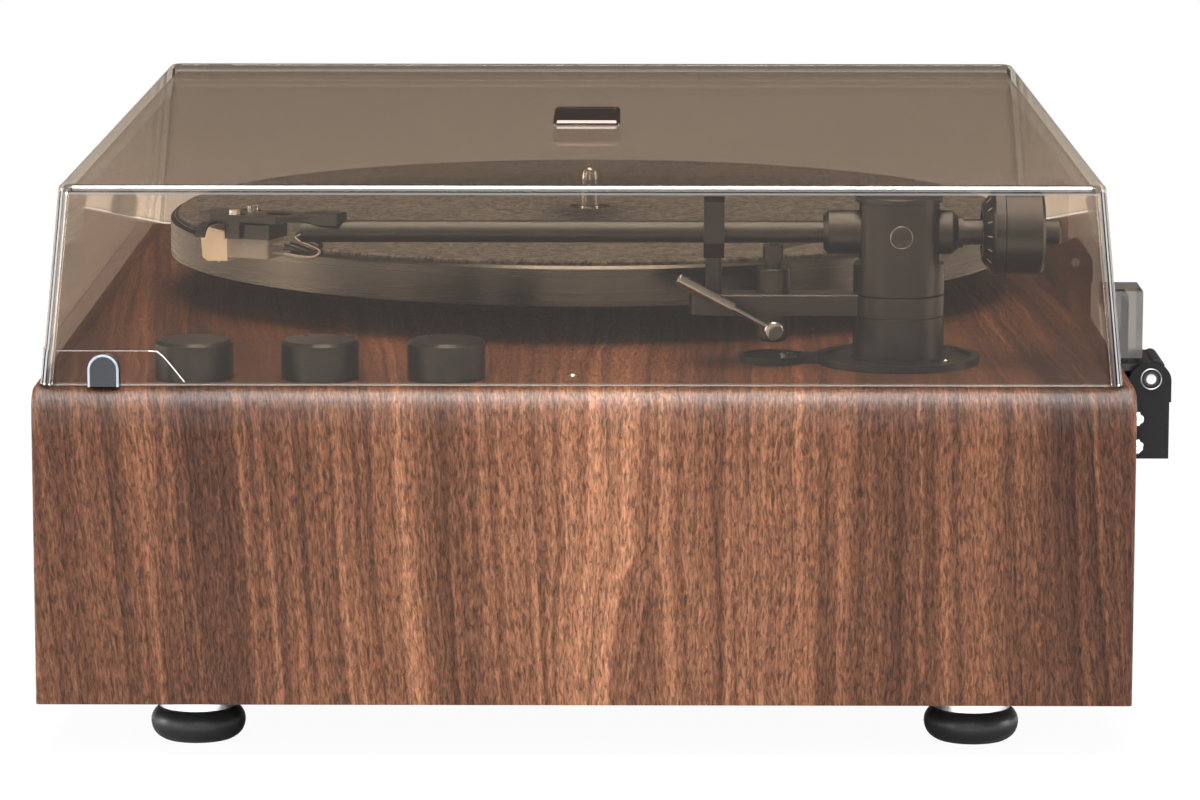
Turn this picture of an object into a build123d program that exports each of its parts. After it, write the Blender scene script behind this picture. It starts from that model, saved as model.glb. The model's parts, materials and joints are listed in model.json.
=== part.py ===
from build123d import *
from math import asin, cos, radians, sin
import os

# Record player in a walnut case with a smoked lid, in millimetres.
# X runs to the user's right, Y from the front to the back and Z up.
# The origin lies on the table under the middle of the whole outline, hinges included.

os.makedirs("parts", exist_ok=True)

# Driving sizes of the case
case_width = 420.0
case_depth = 350.0
case_height = 102.0
foot_height = 18.0
wall = 12.0
deck_thickness = 12.0
panel_thickness = 9.0
top_round = 8.0
edge_ease = 1.5
hinge_reach = 16.0

# Fits and clearances
slip = 0.1
running_gap = 0.05
body_gap = 0.3
turning_gap = 0.5

# Front of the case
grille_recess = 1.5
grille_cloth_thickness = 0.8
grille_frame_depth = 5.0
grille_border = 9.0
speaker_spacing = 250.0
speaker_hole = 30.5
speaker_flange = 35.5

# Back of the case
socket_z = 62.0
rca_x = -70.0
rca_pitch = 16.0
jack_x = -20.0
inlet_x = 30.0

# Feet
foot_inset_x = 35.0
foot_inset_y = 49.0
foot_ring_radius = 12.6
foot_ring_height = 8.0
foot_pad_radius = 15.3
foot_screw_radius = 2.0

# Platter and its drive
platter_share = 1 / 14
platter_radius = 151.0
platter_lift = 13.2
platter_height = 14.0
platter_web = 4.0
platter_rim_wall = 7.0
platter_lip = 2.8
mat_thickness = 3.0
mat_recess = 1.5
spindle_radius = 3.56
spindle_above_mat = 14.5
shaft_radius = 4.0
boss_radius = 7.5
boss_drop = 0.4
bearing_depth = 40.0
bearing_radius = 9.0
belt_ring_radius = 70.0
belt_ring_wall = 4.0
pulley_radius = 6.0
pulley_clearance = 6.0
pulley_distance = 112.0
pulley_angle = 140.0
belt_width = 5.0
belt_thickness = 0.8
belt_level = 10.0
motor_radius = 17.0
motor_height = 24.0
motor_shaft_radius = 1.2
motor_boss_radius = 6.0
motor_boss_height = 3.0

# Knobs at the right edge of the deck
knob_inset_x = 23.5
knob_inset_y = 50.0
knob_pitch = 40.4
knob_radius = 12.5
knob_height = 12.0
knob_bevel = 1.0
knob_shaft_radius = 3.0
pot_radius = 8.5
pot_skin = 3.0
pot_bushing_radius = 4.5
pot_bushing_height = 3.0

# Tonearm
arm_clearance = 30.0
arm_inset_y = 72.7
arm_height = 42.8
pillar_radius = 14.8
pillar_height = 16.0
bar_thickness = 6.8
bar_width = 12.0
yoke_top = 55.0
yoke_slot = 15.4
tube_radius = 3.6
hub_radius = 7.2
hub_front = 24.7
hub_back = 20.7
tail_radius = 4.2
tail_end = 52.7
tube_end = 195.0
tube_bore_depth = 90.0
base_ring_radius = 26.5
base_ring_thickness = 2.5
dish_radius = 10.8
neck_width = 10.0
lift_radius = 41.0
lift_travel = 2.0
rest_radius = 60.4
weight_radius = 13.6
weight_start = 34.3
weight_length = 12.6
dial_radius = 14.2
dial_start = 26.9

# Headshell and cartridge, along the shell's own axis from the bend in the tube
shell_start = 187.0
shell_angle = 24.0
shell_length = 44.0
shell_width = 17.0
shell_thickness = 2.3
shell_over_tube = 2.4
stylus_reach = 39.6
screw_setback = 9.5
screw_spacing = 12.7

# Lid
lid_inset_x = 3.7
lid_inset_front = 2.5
lid_inset_back = 4.0
lid_height = 63.4
lid_gap = 0.6
lid_wall = 3.0
lid_corner = 5.0
lid_top_round = 2.2
lid_lean_x = 4.2
lid_lean_front = 6.2
lid_lean_back = 5.9
skirt_height = 11.0
skirt_proud = 0.3
skirt_length = 35.2
skirt_foot = 46.8
bumper_width = 10.0
bumper_inset = 20.3
badge_length = 48.0
badge_width = 23.5
badge_thickness = 1.5

# Hinges behind the case
hinge_spacing = 284.0
hinge_width = 32.0
cheek_thickness = 3.5
hinge_pin_radius = 2.4
hinge_pin_back = 9.5
hinge_pin_drop = 4.5
hinge_drop = 31.0
knuckle_radius = 4.9
socket_width = 22.0
socket_height = 22.0
tongue_thickness = 2.4

# Places that follow from the sizes above
case_y = -hinge_reach / 2
front_y = case_y - case_depth / 2
back_y = case_y + case_depth / 2
right_x = case_width / 2
deck_z = foot_height + case_height
deck_under = deck_z - deck_thickness
inner_width = case_width - 2 * wall
inner_height = case_height - deck_thickness
inner_mid_z = foot_height + inner_height / 2
base_top = foot_height + panel_thickness


def upright(x, y, z=0.0):
    """Plane for a profile of radius and height, turned about a vertical axis at x, y."""
    return Plane(origin=(x, y, z), x_dir=(1, 0, 0), z_dir=(0, -1, 0))


def lengthwise(x, y, z):
    """Plane for a profile of depth towards the back and radius, turned about a Y axis."""
    return Plane(origin=(x, y, z), x_dir=(0, 1, 0), z_dir=(1, 0, 0))


def turn_upright(x, y):
    """Turn the pending profile about the vertical axis at x, y."""
    revolve(axis=Axis((x, y, 0), (0, 0, 1)))


def turn_lengthwise(x, z):
    """Turn the pending profile about the Y axis at x, z."""
    revolve(axis=Axis((x, 0, z), (0, 1, 0)))


def dome(radius, low, high):
    """Draw the arc of a round cap from the rim at height low to the axis at height high."""
    ball = (radius**2 + (high - low) ** 2) / (2 * (high - low))
    half = asin(radius / ball) / 2
    middle = (ball * sin(half), high - ball + ball * cos(half))
    ThreePointArc((radius, low), middle, (0, high))


def keep(part, name):
    """Label a finished piece and write its STEP file."""
    part.label = name
    export_step(part, f"parts/{name}.step")


# Case: one folded wrap of veneered board, open at the front, back and bottom
knob_x = right_x - knob_inset_x
knob_ys = [front_y + knob_inset_y + knob_pitch * i for i in range(3)]
platter_x = -case_width * platter_share
platter_y = case_y
arm_x = platter_x + platter_radius + arm_clearance
arm_y = back_y - arm_inset_y
motor_x = platter_x + pulley_distance * cos(radians(pulley_angle))
motor_y = platter_y + pulley_distance * sin(radians(pulley_angle))
stem_radius = 8.0
pulley_hole = pulley_radius + pulley_clearance
pocket_radius = pot_radius + 2.5

with BuildPart() as case_shell:
    with BuildSketch(Plane.XZ.offset(-front_y)) as wrap:
        with Locations((0, foot_height + case_height / 2)):
            Rectangle(case_width, case_height)
        fillet(wrap.vertices().group_by(Axis.Y)[-1], top_round)
        with Locations((0, inner_mid_z)):
            Rectangle(inner_width, inner_height, mode=Mode.SUBTRACT)
    extrude(amount=-case_depth)
    rims = [
        edge
        for face in case_shell.faces().filter_by(Axis.Y)
        for edge in face.edges()
        if edge.center().Z > deck_under + 1
        or (abs(edge.center().X) > right_x - wall / 2 and edge.center().Z > foot_height + 1)
    ]
    fillet(rims, edge_ease)
    with Locations((platter_x, platter_y, deck_z)):
        Hole(bearing_radius + slip, deck_thickness)
    with Locations((motor_x, motor_y, deck_z)):
        Hole(pulley_hole, deck_thickness)
    with Locations((arm_x, arm_y, deck_z)):
        Hole(stem_radius + slip, deck_thickness)
    with Locations(*[(knob_x, y, deck_z) for y in knob_ys]):
        Hole(pot_bushing_radius + slip, deck_thickness)
    with BuildSketch(Plane.XY.offset(deck_under)):
        with Locations(*[(knob_x, y) for y in knob_ys]):
            Circle(pocket_radius)
    extrude(amount=deck_thickness - pot_skin, mode=Mode.SUBTRACT)
keep(case_shell.part, "case_shell")

# Bottom board between the front baffle and the back panel, with holes for the foot screws
baffle_y = front_y + grille_recess + grille_cloth_thickness + grille_frame_depth
baffle_back = baffle_y + panel_thickness
panel_y = back_y - panel_thickness
foot_places = [
    (side * (right_x - foot_inset_x), case_y + end * (case_depth / 2 - foot_inset_y))
    for side in (-1, 1)
    for end in (-1, 1)
]

with BuildPart() as bottom_board:
    with BuildSketch(Plane.XY.offset(foot_height)):
        with Locations((0, (baffle_back + panel_y) / 2)):
            Rectangle(inner_width, panel_y - baffle_back)
        with Locations(*foot_places):
            Circle(foot_screw_radius, mode=Mode.SUBTRACT)
    extrude(amount=panel_thickness)
keep(bottom_board.part, "bottom_board")

# Feet: a metal neck ring over a domed rubber pad, held by one screw each
pad_height = foot_height - foot_ring_height
screw_head_radius = 2 * foot_screw_radius + 0.5
screw_head_z = pad_height / 2
screw_head_height = 2.5

with BuildPart() as foot_pads:
    for x, y in foot_places:
        with BuildSketch(upright(x, y)):
            with BuildLine():
                Polyline((foot_screw_radius, pad_height), (foot_screw_radius, screw_head_z))
                Polyline(
                    (foot_screw_radius, screw_head_z),
                    (screw_head_radius + 0.5, screw_head_z),
                    (screw_head_radius + 0.5, 0),
                    (foot_pad_radius - 3.5, 0),
                )
                Spline(
                    (foot_pad_radius - 3.5, 0),
                    (foot_pad_radius, pad_height * 0.45),
                    (foot_pad_radius - 2.2, pad_height),
                    tangents=((1, 0.5), (-0.8, 0.6)),
                )
                Line((foot_pad_radius - 2.2, pad_height), (foot_screw_radius, pad_height))
            make_face()
        turn_upright(x, y)
keep(foot_pads.part, "foot_pads")

with BuildPart() as foot_rings:
    with BuildSketch(Plane.XY.offset(pad_height)):
        with Locations(*foot_places):
            Circle(foot_ring_radius)
            Circle(foot_screw_radius, mode=Mode.SUBTRACT)
    extrude(amount=foot_ring_height)
    chamfer(foot_rings.edges().filter_by(GeomType.CIRCLE).group_by(SortBy.LENGTH)[-1], 0.5)
keep(foot_rings.part, "foot_rings")

with BuildPart() as foot_screws:
    with BuildSketch(Plane.XY.offset(screw_head_z - screw_head_height)):
        with Locations(*foot_places):
            Circle(screw_head_radius)
    extrude(amount=screw_head_height)
    with BuildSketch(Plane.XY.offset(screw_head_z)):
        with Locations(*foot_places):
            Circle(foot_screw_radius)
    extrude(amount=base_top - screw_head_z - 1)
keep(foot_screws.part, "foot_screws")

# Front: baffle board, two drivers behind it, and a cloth-covered grille in front
speaker_xs = [-speaker_spacing / 2, speaker_spacing / 2]
window_width = inner_width / 2 - 1.5 * grille_border

with BuildPart() as front_baffle:
    with BuildSketch(Plane.XZ.offset(-baffle_y)):
        with Locations((0, inner_mid_z)):
            Rectangle(inner_width, inner_height)
        with Locations(*[(x, inner_mid_z) for x in speaker_xs]):
            Circle(speaker_hole, mode=Mode.SUBTRACT)
    extrude(amount=-panel_thickness)
keep(front_baffle.part, "front_baffle")

with BuildPart() as grille_frame:
    with BuildSketch(Plane.XZ.offset(-(baffle_y - grille_frame_depth))):
        with Locations((0, inner_mid_z)):
            Rectangle(inner_width - 2 * slip, inner_height - 2 * slip)
            with GridLocations(window_width + grille_border, 0, 2, 1):
                RectangleRounded(
                    window_width, inner_height - 2 * grille_border, 4, mode=Mode.SUBTRACT
                )
    extrude(amount=-grille_frame_depth)
keep(grille_frame.part, "grille_frame")

with BuildPart() as grille_cloth:
    with BuildSketch(Plane.XZ.offset(-(front_y + grille_recess))):
        with Locations((0, inner_mid_z)):
            Rectangle(inner_width - 2 * slip, inner_height - 2 * slip)
    extrude(amount=-grille_cloth_thickness)
keep(grille_cloth.part, "grille_cloth")

magnet_radius = 24.0
magnet_back = 31.0

with BuildPart() as speaker_baskets:
    for x in speaker_xs:
        with BuildSketch(lengthwise(x, baffle_back, inner_mid_z)):
            with BuildLine():
                Polyline(
                    (0, speaker_hole - 0.5),
                    (0, speaker_flange),
                    (2.5, speaker_flange),
                    (2.5, speaker_hole + 2),
                    (17, magnet_radius - 4),
                    (17, magnet_radius),
                    (magnet_back, magnet_radius),
                    (magnet_back, 0),
                    (15, 0),
                    (15, magnet_radius - 7),
                    (0, speaker_hole - 0.5),
                )
            make_face()
        turn_lengthwise(x, inner_mid_z)
keep(speaker_baskets.part, "speaker_baskets")

surround = speaker_hole - 0.5
roll_width = 5.0
roll_height = 2.6
cone_depth = 12.5
cap_radius = 9.0
cap_height = 5.5

with BuildPart() as speaker_cones:
    for x in speaker_xs:
        with BuildSketch(lengthwise(x, baffle_back, inner_mid_z)):
            with BuildLine():
                Polyline(
                    (0, surround),
                    (0, surround - roll_width),
                    (cone_depth, cap_radius),
                    (cone_depth, 0),
                    (cone_depth - cap_height, 0),
                    (cone_depth - cap_height + 1.2, cap_radius * 0.65),
                    (cone_depth - 1.5, cap_radius + 0.6),
                    (-0.8, surround - roll_width),
                    (-roll_height, surround - roll_width * 0.7),
                    (-roll_height, surround - roll_width * 0.3),
                    (0, surround),
                )
            make_face()
        turn_lengthwise(x, inner_mid_z)
keep(speaker_cones.part, "speaker_cones")

# Back panel with its sockets: a pair of phono outputs, a small jack and the power inlet
rca_hole = 5.2
jack_hole = 4.0
inlet_hole = 5.6
socket_flange = 1.5
hinge_xs = [-hinge_spacing / 2, hinge_spacing / 2]
pin_y = back_y + hinge_pin_back
pin_z = deck_z - hinge_pin_drop
screw_drop = [pin_z - 12.5, pin_z - 21.4]
flange_reach = 8.0
hinge_screw_places = [
    (x + side * (hinge_width + flange_reach) / 2, z)
    for x in hinge_xs
    for side in (-1, 1)
    for z in screw_drop
]
hinge_screw_radius = 1.4

with BuildPart() as back_panel:
    with BuildSketch(Plane.XZ.offset(-panel_y)):
        with Locations((0, inner_mid_z)):
            Rectangle(inner_width, inner_height)
        with Locations((rca_x - rca_pitch / 2, socket_z), (rca_x + rca_pitch / 2, socket_z)):
            Circle(rca_hole, mode=Mode.SUBTRACT)
        with Locations((jack_x, socket_z)):
            Circle(jack_hole, mode=Mode.SUBTRACT)
        with Locations((inlet_x, socket_z)):
            Circle(inlet_hole, mode=Mode.SUBTRACT)
        with Locations(*hinge_screw_places):
            Circle(hinge_screw_radius, mode=Mode.SUBTRACT)
    extrude(amount=-panel_thickness)
keep(back_panel.part, "back_panel")

board_y = panel_y - 14.0
board_thickness = 1.6

jack_bore = 1.8
jack_depth = 15.0
plate_left = rca_x - rca_pitch / 2 - 9.0
plate_right = jack_x + 8.0

with BuildPart() as audio_sockets:
    with BuildSketch(Plane.XZ.offset(-back_y)):
        with Locations(((plate_left + plate_right) / 2, socket_z)):
            RectangleRounded(plate_right - plate_left, 20, 3)
    extrude(amount=-socket_flange)
    rca_xs = (rca_x - rca_pitch / 2, rca_x + rca_pitch / 2)
    with BuildSketch(Plane.XZ.offset(-board_y)):
        with Locations(*[(x, socket_z) for x in rca_xs]):
            Circle(rca_hole)
    extrude(amount=board_y - back_y)
    with BuildSketch(Plane.XZ.offset(-back_y)):
        with Locations(*[(x, socket_z) for x in rca_xs]):
            Circle(4.15)
    extrude(amount=-9.5)
    with BuildSketch(Plane.XZ.offset(-(back_y + 9.5))):
        with Locations(*[(x, socket_z) for x in rca_xs]):
            Circle(1.6)
    extrude(amount=9.0, mode=Mode.SUBTRACT)
    with BuildSketch(lengthwise(jack_x, board_y, socket_z)):
        with BuildLine():
            tip = back_y - board_y + 2.0
            Polyline(
                (0, 0),
                (0, jack_hole),
                (back_y - board_y, jack_hole),
                (back_y - board_y, jack_hole + 1.2),
                (tip, jack_hole + 1.2),
                (tip, jack_bore),
                (tip - jack_depth, jack_bore),
                (tip - jack_depth, 0),
                (0, 0),
            )
        make_face()
    turn_lengthwise(jack_x, socket_z)
    with BuildSketch(Plane.XZ.offset(-(back_y + 2.0))):
        with Locations((jack_x, socket_z)):
            Circle(jack_bore)
    extrude(amount=jack_depth, mode=Mode.SUBTRACT)
keep(audio_sockets.part, "audio_sockets")

inlet_bore = 2.75
inlet_depth = 9.5

with BuildPart() as power_inlet:
    with BuildSketch(lengthwise(inlet_x, board_y, socket_z)):
        with BuildLine():
            tip = back_y - board_y + socket_flange
            Polyline(
                (0, 0),
                (0, inlet_hole),
                (back_y - board_y, inlet_hole),
                (back_y - board_y, inlet_hole + 1.6),
                (tip, inlet_hole + 1.6),
                (tip, inlet_bore),
                (tip - inlet_depth, inlet_bore),
                (tip - inlet_depth, 1.0),
                (tip - 1.0, 1.0),
                (tip - 1.0, 0),
                (0, 0),
            )
        make_face()
    turn_lengthwise(inlet_x, socket_z)
keep(power_inlet.part, "power_inlet")

with BuildPart() as amplifier_board:
    with BuildSketch(Plane.XZ.offset(-board_y)):
        with Locations(((rca_x + inlet_x) / 2, (base_top + socket_z + 14) / 2)):
            Rectangle(inlet_x - rca_x + 44, socket_z + 14 - base_top)
    extrude(amount=board_thickness)
    with BuildSketch(Plane.XZ.offset(-(board_y - board_thickness))):
        with Locations((jack_x - 34, base_top + 14), (jack_x - 18, base_top + 14)):
            Circle(6)
    extrude(amount=18)
    sink_y = board_y - board_thickness
    with BuildSketch(Plane.XY.offset(base_top + 2)):
        with Locations((jack_x + 28, sink_y - 1.5)):
            Rectangle(44, 3)
        with Locations((jack_x + 28, sink_y - 10)):
            with GridLocations(8, 0, 6, 1):
                Rectangle(2, 14)
    extrude(amount=40)
keep(amplifier_board.part, "amplifier_board")

# Platter: a cast dish with a belt ring and a hub below its web, turning on a steel spindle
rim_top = platter_lift + platter_height
mat_top = rim_top - mat_recess + mat_thickness
web_top = rim_top - mat_recess
web_bottom = web_top - platter_web
mat_radius = platter_radius - platter_lip
spindle_top = mat_top + spindle_above_mat
boss_top = mat_top - boss_drop
hub_bottom = 9.0
belt_ring_bottom = belt_level - 2.5

with BuildPart() as platter:
    with BuildSketch(upright(platter_x, platter_y, deck_z)):
        with BuildLine():
            Polyline(
                (shaft_radius, hub_bottom),
                (13, hub_bottom),
                (14.5, web_bottom),
                (belt_ring_radius - belt_ring_wall, web_bottom),
                (belt_ring_radius - belt_ring_wall, belt_ring_bottom),
                (belt_ring_radius, belt_ring_bottom),
                (belt_ring_radius, web_bottom),
                (platter_radius - platter_rim_wall, web_bottom),
                (platter_radius - platter_rim_wall + 2, platter_lift),
                (platter_radius - 0.6, platter_lift),
                (platter_radius, platter_lift + 0.6),
                (platter_radius, rim_top - 1.0),
                (platter_radius - 1.0, rim_top),
                (mat_radius, rim_top),
                (mat_radius, web_top),
                (boss_radius, web_top),
                (boss_radius, boss_top),
                (shaft_radius, boss_top),
                (shaft_radius, hub_bottom),
            )
        make_face()
    turn_upright(platter_x, platter_y)
keep(platter.part, "platter")

with BuildPart() as platter_mat:
    with BuildSketch(upright(platter_x, platter_y, deck_z)):
        with BuildLine():
            inner = boss_radius + slip
            outer = mat_radius - slip
            Polyline(
                (inner, web_top),
                (outer, web_top),
                (outer, mat_top - 0.6),
                (outer - 0.6, mat_top),
                (inner, mat_top),
                (inner, web_top),
            )
        make_face()
    turn_upright(platter_x, platter_y)
keep(platter_mat.part, "platter_mat")

with BuildPart() as spindle:
    with BuildSketch(upright(platter_x, platter_y, deck_z)):
        with BuildLine():
            Polyline(
                (0, spindle_top),
                (0, -bearing_depth),
                (shaft_radius, -bearing_depth),
                (shaft_radius, mat_top),
                (spindle_radius, mat_top),
                (spindle_radius, spindle_top - 4.5),
                (spindle_radius - 0.7, spindle_top - 1.6),
            )
            dome(spindle_radius - 0.7, spindle_top - 1.6, spindle_top)
        make_face()
    turn_upright(platter_x, platter_y)
keep(spindle.part, "spindle")

bore_floor = -bearing_depth - body_gap

with BuildPart() as platter_bearing:
    with BuildSketch(upright(platter_x, platter_y, deck_z)):
        with BuildLine():
            bore = shaft_radius + running_gap
            Polyline(
                (0, bore_floor),
                (bore, bore_floor),
                (bore, 5),
                (bearing_radius - 2, 5),
                (bearing_radius, 3),
                (22, 3),
                (22, 0),
                (bearing_radius, 0),
                (bearing_radius, bore_floor - 3),
                (0, bore_floor - 3),
                (0, bore_floor),
            )
        make_face()
    turn_upright(platter_x, platter_y)
keep(platter_bearing.part, "platter_bearing")

# Motor on a steel plate under the deck, its pulley and the flat belt
motor_plate_thickness = 2.0
motor_top = deck_under - motor_plate_thickness
pulley_flange = 1.2

with BuildPart() as motor_plate:
    with BuildSketch(Plane.XY.offset(motor_top)):
        with Locations((motor_x, motor_y)):
            RectangleRounded(4 * motor_radius, 2.4 * motor_radius, 5)
            Circle(motor_boss_radius, mode=Mode.SUBTRACT)
            with GridLocations(3.3 * motor_radius, 1.6 * motor_radius, 2, 2):
                Circle(2, mode=Mode.SUBTRACT)
    extrude(amount=motor_plate_thickness)
keep(motor_plate.part, "motor_plate")

with BuildPart() as motor:
    with BuildSketch(upright(motor_x, motor_y, motor_top)):
        with BuildLine():
            bore = motor_shaft_radius + running_gap
            Polyline(
                (0, -motor_height + 2),
                (bore, -motor_height + 2),
                (bore, motor_boss_height),
                (motor_boss_radius, motor_boss_height),
                (motor_boss_radius, 0),
                (motor_radius, 0),
                (motor_radius, -motor_height + 2),
                (motor_radius - 2, -motor_height),
                (0, -motor_height),
                (0, -motor_height + 2),
            )
        make_face()
    turn_upright(motor_x, motor_y)
keep(motor.part, "motor")

belt_top = belt_level + belt_width
shaft_foot = motor_top - motor_height + 2 + body_gap - deck_z

with BuildPart() as motor_pulley:
    with BuildSketch(upright(motor_x, motor_y, deck_z)):
        with BuildLine():
            low = belt_level - 0.6
            high = belt_top + 0.6
            Polyline(
                (0, high + 1.5),
                (0, shaft_foot),
                (motor_shaft_radius, shaft_foot),
                (motor_shaft_radius, low - 3),
                (pulley_radius - 1, low - 3),
                (pulley_radius - 1, low - 1.5),
                (pulley_radius + pulley_flange, low - 1.5),
                (pulley_radius + pulley_flange, low - 0.5),
                (pulley_radius - 0.2, low),
            )
            ThreePointArc(
                (pulley_radius - 0.2, low),
                (pulley_radius, (low + high) / 2),
                (pulley_radius - 0.2, high),
            )
            Polyline(
                (pulley_radius - 0.2, high),
                (pulley_radius + pulley_flange, high + 0.5),
                (pulley_radius + pulley_flange, high + 1.5),
                (0, high + 1.5),
            )
        make_face()
    turn_upright(motor_x, motor_y)
keep(motor_pulley.part, "motor_pulley")

with BuildPart() as drive_belt:
    with BuildSketch(Plane.XY.offset(deck_z + belt_level)):
        for grow, how in ((body_gap + belt_thickness, Mode.ADD), (body_gap, Mode.SUBTRACT)):
            with BuildSketch(Plane.XY, mode=how):
                with Locations((platter_x, platter_y)):
                    Circle(belt_ring_radius + grow)
                with Locations((motor_x, motor_y)):
                    Circle(pulley_radius + grow)
                make_hull()
    extrude(amount=belt_width)
keep(drive_belt.part, "drive_belt")

# Three knobs on potentiometers that hang in pockets under the deck
knob_base = deck_z + turning_gap
knob_top = knob_base + knob_height
shaft_bottom = deck_under + 1.5
shaft_top = knob_top - 3.5
nut_radius = 7.0
knob_hollow = 9.6
knob_hollow_depth = pot_bushing_height + 1.0
dot_radius = 1.1
dot_place = 9.4
dot_angles = (262.0, 213.0, 213.0)
knob_names = ("volume_knob", "bass_knob", "treble_knob")
shaft_names = ("volume_shaft", "bass_shaft", "treble_shaft")

with BuildPart() as potentiometers:
    for y in knob_ys:
        with BuildSketch(upright(knob_x, y)):
            with BuildLine():
                bore = knob_shaft_radius + running_gap
                Polyline(
                    (0, deck_under),
                    (pot_radius, deck_under),
                    (pot_radius, deck_z - pot_skin),
                    (pot_bushing_radius, deck_z - pot_skin),
                    (pot_bushing_radius, deck_z + pot_bushing_height),
                    (bore, deck_z + pot_bushing_height),
                    (bore, deck_under + 1),
                    (0, deck_under + 1),
                    (0, deck_under),
                )
            make_face()
        turn_upright(knob_x, y)
    with BuildSketch(Plane.XY.offset(deck_z)):
        with Locations(*[(knob_x, y) for y in knob_ys]):
            RegularPolygon(nut_radius, 6)
            Circle(pot_bushing_radius, mode=Mode.SUBTRACT)
    extrude(amount=2.2)
keep(potentiometers.part, "potentiometers")

with BuildPart() as control_board:
    with BuildSketch(Plane.XY.offset(deck_under - board_thickness)):
        with Locations((knob_x - 3, knob_ys[1])):
            Rectangle(2 * (right_x - wall - knob_x) + 6, 2 * knob_pitch + 34)
    extrude(amount=board_thickness)
keep(control_board.part, "control_board")

for name, shaft_name, y, angle in zip(knob_names, shaft_names, knob_ys, dot_angles):
    with BuildPart() as knob:
        with BuildSketch(upright(knob_x, y)):
            with BuildLine():
                Polyline(
                    (0, knob_top),
                    (knob_radius - knob_bevel, knob_top),
                    (knob_radius, knob_top - knob_bevel),
                    (knob_radius, knob_base),
                    (knob_hollow, knob_base),
                    (knob_hollow, knob_base + knob_hollow_depth),
                    (knob_shaft_radius, knob_base + knob_hollow_depth),
                    (knob_shaft_radius, shaft_top),
                    (0, shaft_top),
                    (0, knob_top),
                )
            make_face()
        turn_upright(knob_x, y)
        dot_x = knob_x + dot_place * cos(radians(angle))
        dot_y = y + dot_place * sin(radians(angle))
        with Locations((dot_x, dot_y, knob_top + dot_radius * 0.4)):
            Sphere(dot_radius, mode=Mode.SUBTRACT)
    keep(knob.part, name)

    with BuildPart() as shaft:
        with BuildSketch(Plane.XY.offset(shaft_bottom)):
            with Locations((knob_x, y)):
                Circle(knob_shaft_radius)
        extrude(amount=shaft_top - shaft_bottom)
    keep(shaft.part, shaft_name)

# Power light in the deck behind the knobs
light_radius = 2.0
light_x = knob_x - 3.5
light_y = knob_ys[2] + knob_pitch

with BuildPart() as power_light:
    with BuildSketch(upright(light_x, light_y, deck_z)):
        with BuildLine():
            Polyline((0, 1.2), (0, 0), (light_radius, 0), (light_radius, 0.4))
            dome(light_radius, 0.4, 1.2)
        make_face()
    turn_upright(light_x, light_y)
keep(power_light.part, "power_light")

# Tonearm base: a figure-of-eight plate, a pillar with its stem, and the rest bar's ring
bar_z = deck_z + pillar_height
bar_top = bar_z + bar_thickness
tube_z = deck_z + arm_height
plate_top = deck_z + base_ring_thickness
lift_y = arm_y - lift_radius
rest_y = arm_y - rest_radius
rim_wall = 2.6
recess = 1.2

with BuildPart() as arm_base_plate:
    with BuildSketch(Plane.XY.offset(deck_z)) as footprint:
        with Locations((arm_x, arm_y)):
            Circle(base_ring_radius)
        with Locations((arm_x, lift_y)):
            Circle(dish_radius)
        with Locations((arm_x, (arm_y + lift_y) / 2)):
            Rectangle(neck_width, lift_radius)
        corners = footprint.vertices()
        fillet(corners, 2.5)
        with Locations((arm_x, arm_y)):
            Circle(stem_radius, mode=Mode.SUBTRACT)
    extrude(amount=base_ring_thickness)
    with BuildSketch(Plane.XY.offset(plate_top)):
        with Locations((arm_x, arm_y)):
            Circle(base_ring_radius - rim_wall)
            Circle(pillar_radius + 0.6, mode=Mode.SUBTRACT)
        with Locations((arm_x, lift_y)):
            Circle(dish_radius - rim_wall / 2)
    extrude(amount=-recess, mode=Mode.SUBTRACT)
keep(arm_base_plate.part, "arm_base_plate")

with BuildPart() as arm_base_screws:
    head_z = plate_top - recess
    head_places = [
        (arm_x - 4.5, lift_y + 4.0),
        (arm_x - 18.0, arm_y - 3.0),
        (arm_x + 10.5, arm_y + 15.0),
    ]
    with BuildSketch(Plane.XY.offset(head_z)):
        with Locations(*head_places):
            Circle(1.5)
    extrude(amount=1.1)
    chamfer(arm_base_screws.edges().group_by(Axis.Z)[-1], 0.3)
keep(arm_base_screws.part, "arm_base_screws")

spigot_radius = 5.0
spigot_top = bar_top + 7.0

with BuildPart() as arm_pillar:
    with BuildSketch(upright(arm_x, arm_y)):
        with BuildLine():
            Polyline(
                (0, deck_under - 12),
                (stem_radius, deck_under - 12),
                (stem_radius, plate_top),
                (pillar_radius, plate_top),
                (pillar_radius, bar_z - 0.4),
                (pillar_radius - 0.4, bar_z),
                (stem_radius, bar_z),
                (stem_radius, bar_top),
                (spigot_radius, bar_top),
                (spigot_radius, spigot_top),
                (0, spigot_top),
                (0, deck_under - 12),
            )
        make_face()
    turn_upright(arm_x, arm_y)
keep(arm_pillar.part, "arm_pillar")

with BuildPart() as arm_nut:
    with BuildSketch(Plane.XY.offset(deck_under - 6)):
        with Locations((arm_x, arm_y)):
            RegularPolygon(15, 6)
            Circle(stem_radius, mode=Mode.SUBTRACT)
    extrude(amount=6)
keep(arm_nut.part, "arm_nut")

lift_radius_outer = 5.4
bar_end_y = rest_y - 8.0
bar_half = bar_width / 2

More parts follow.
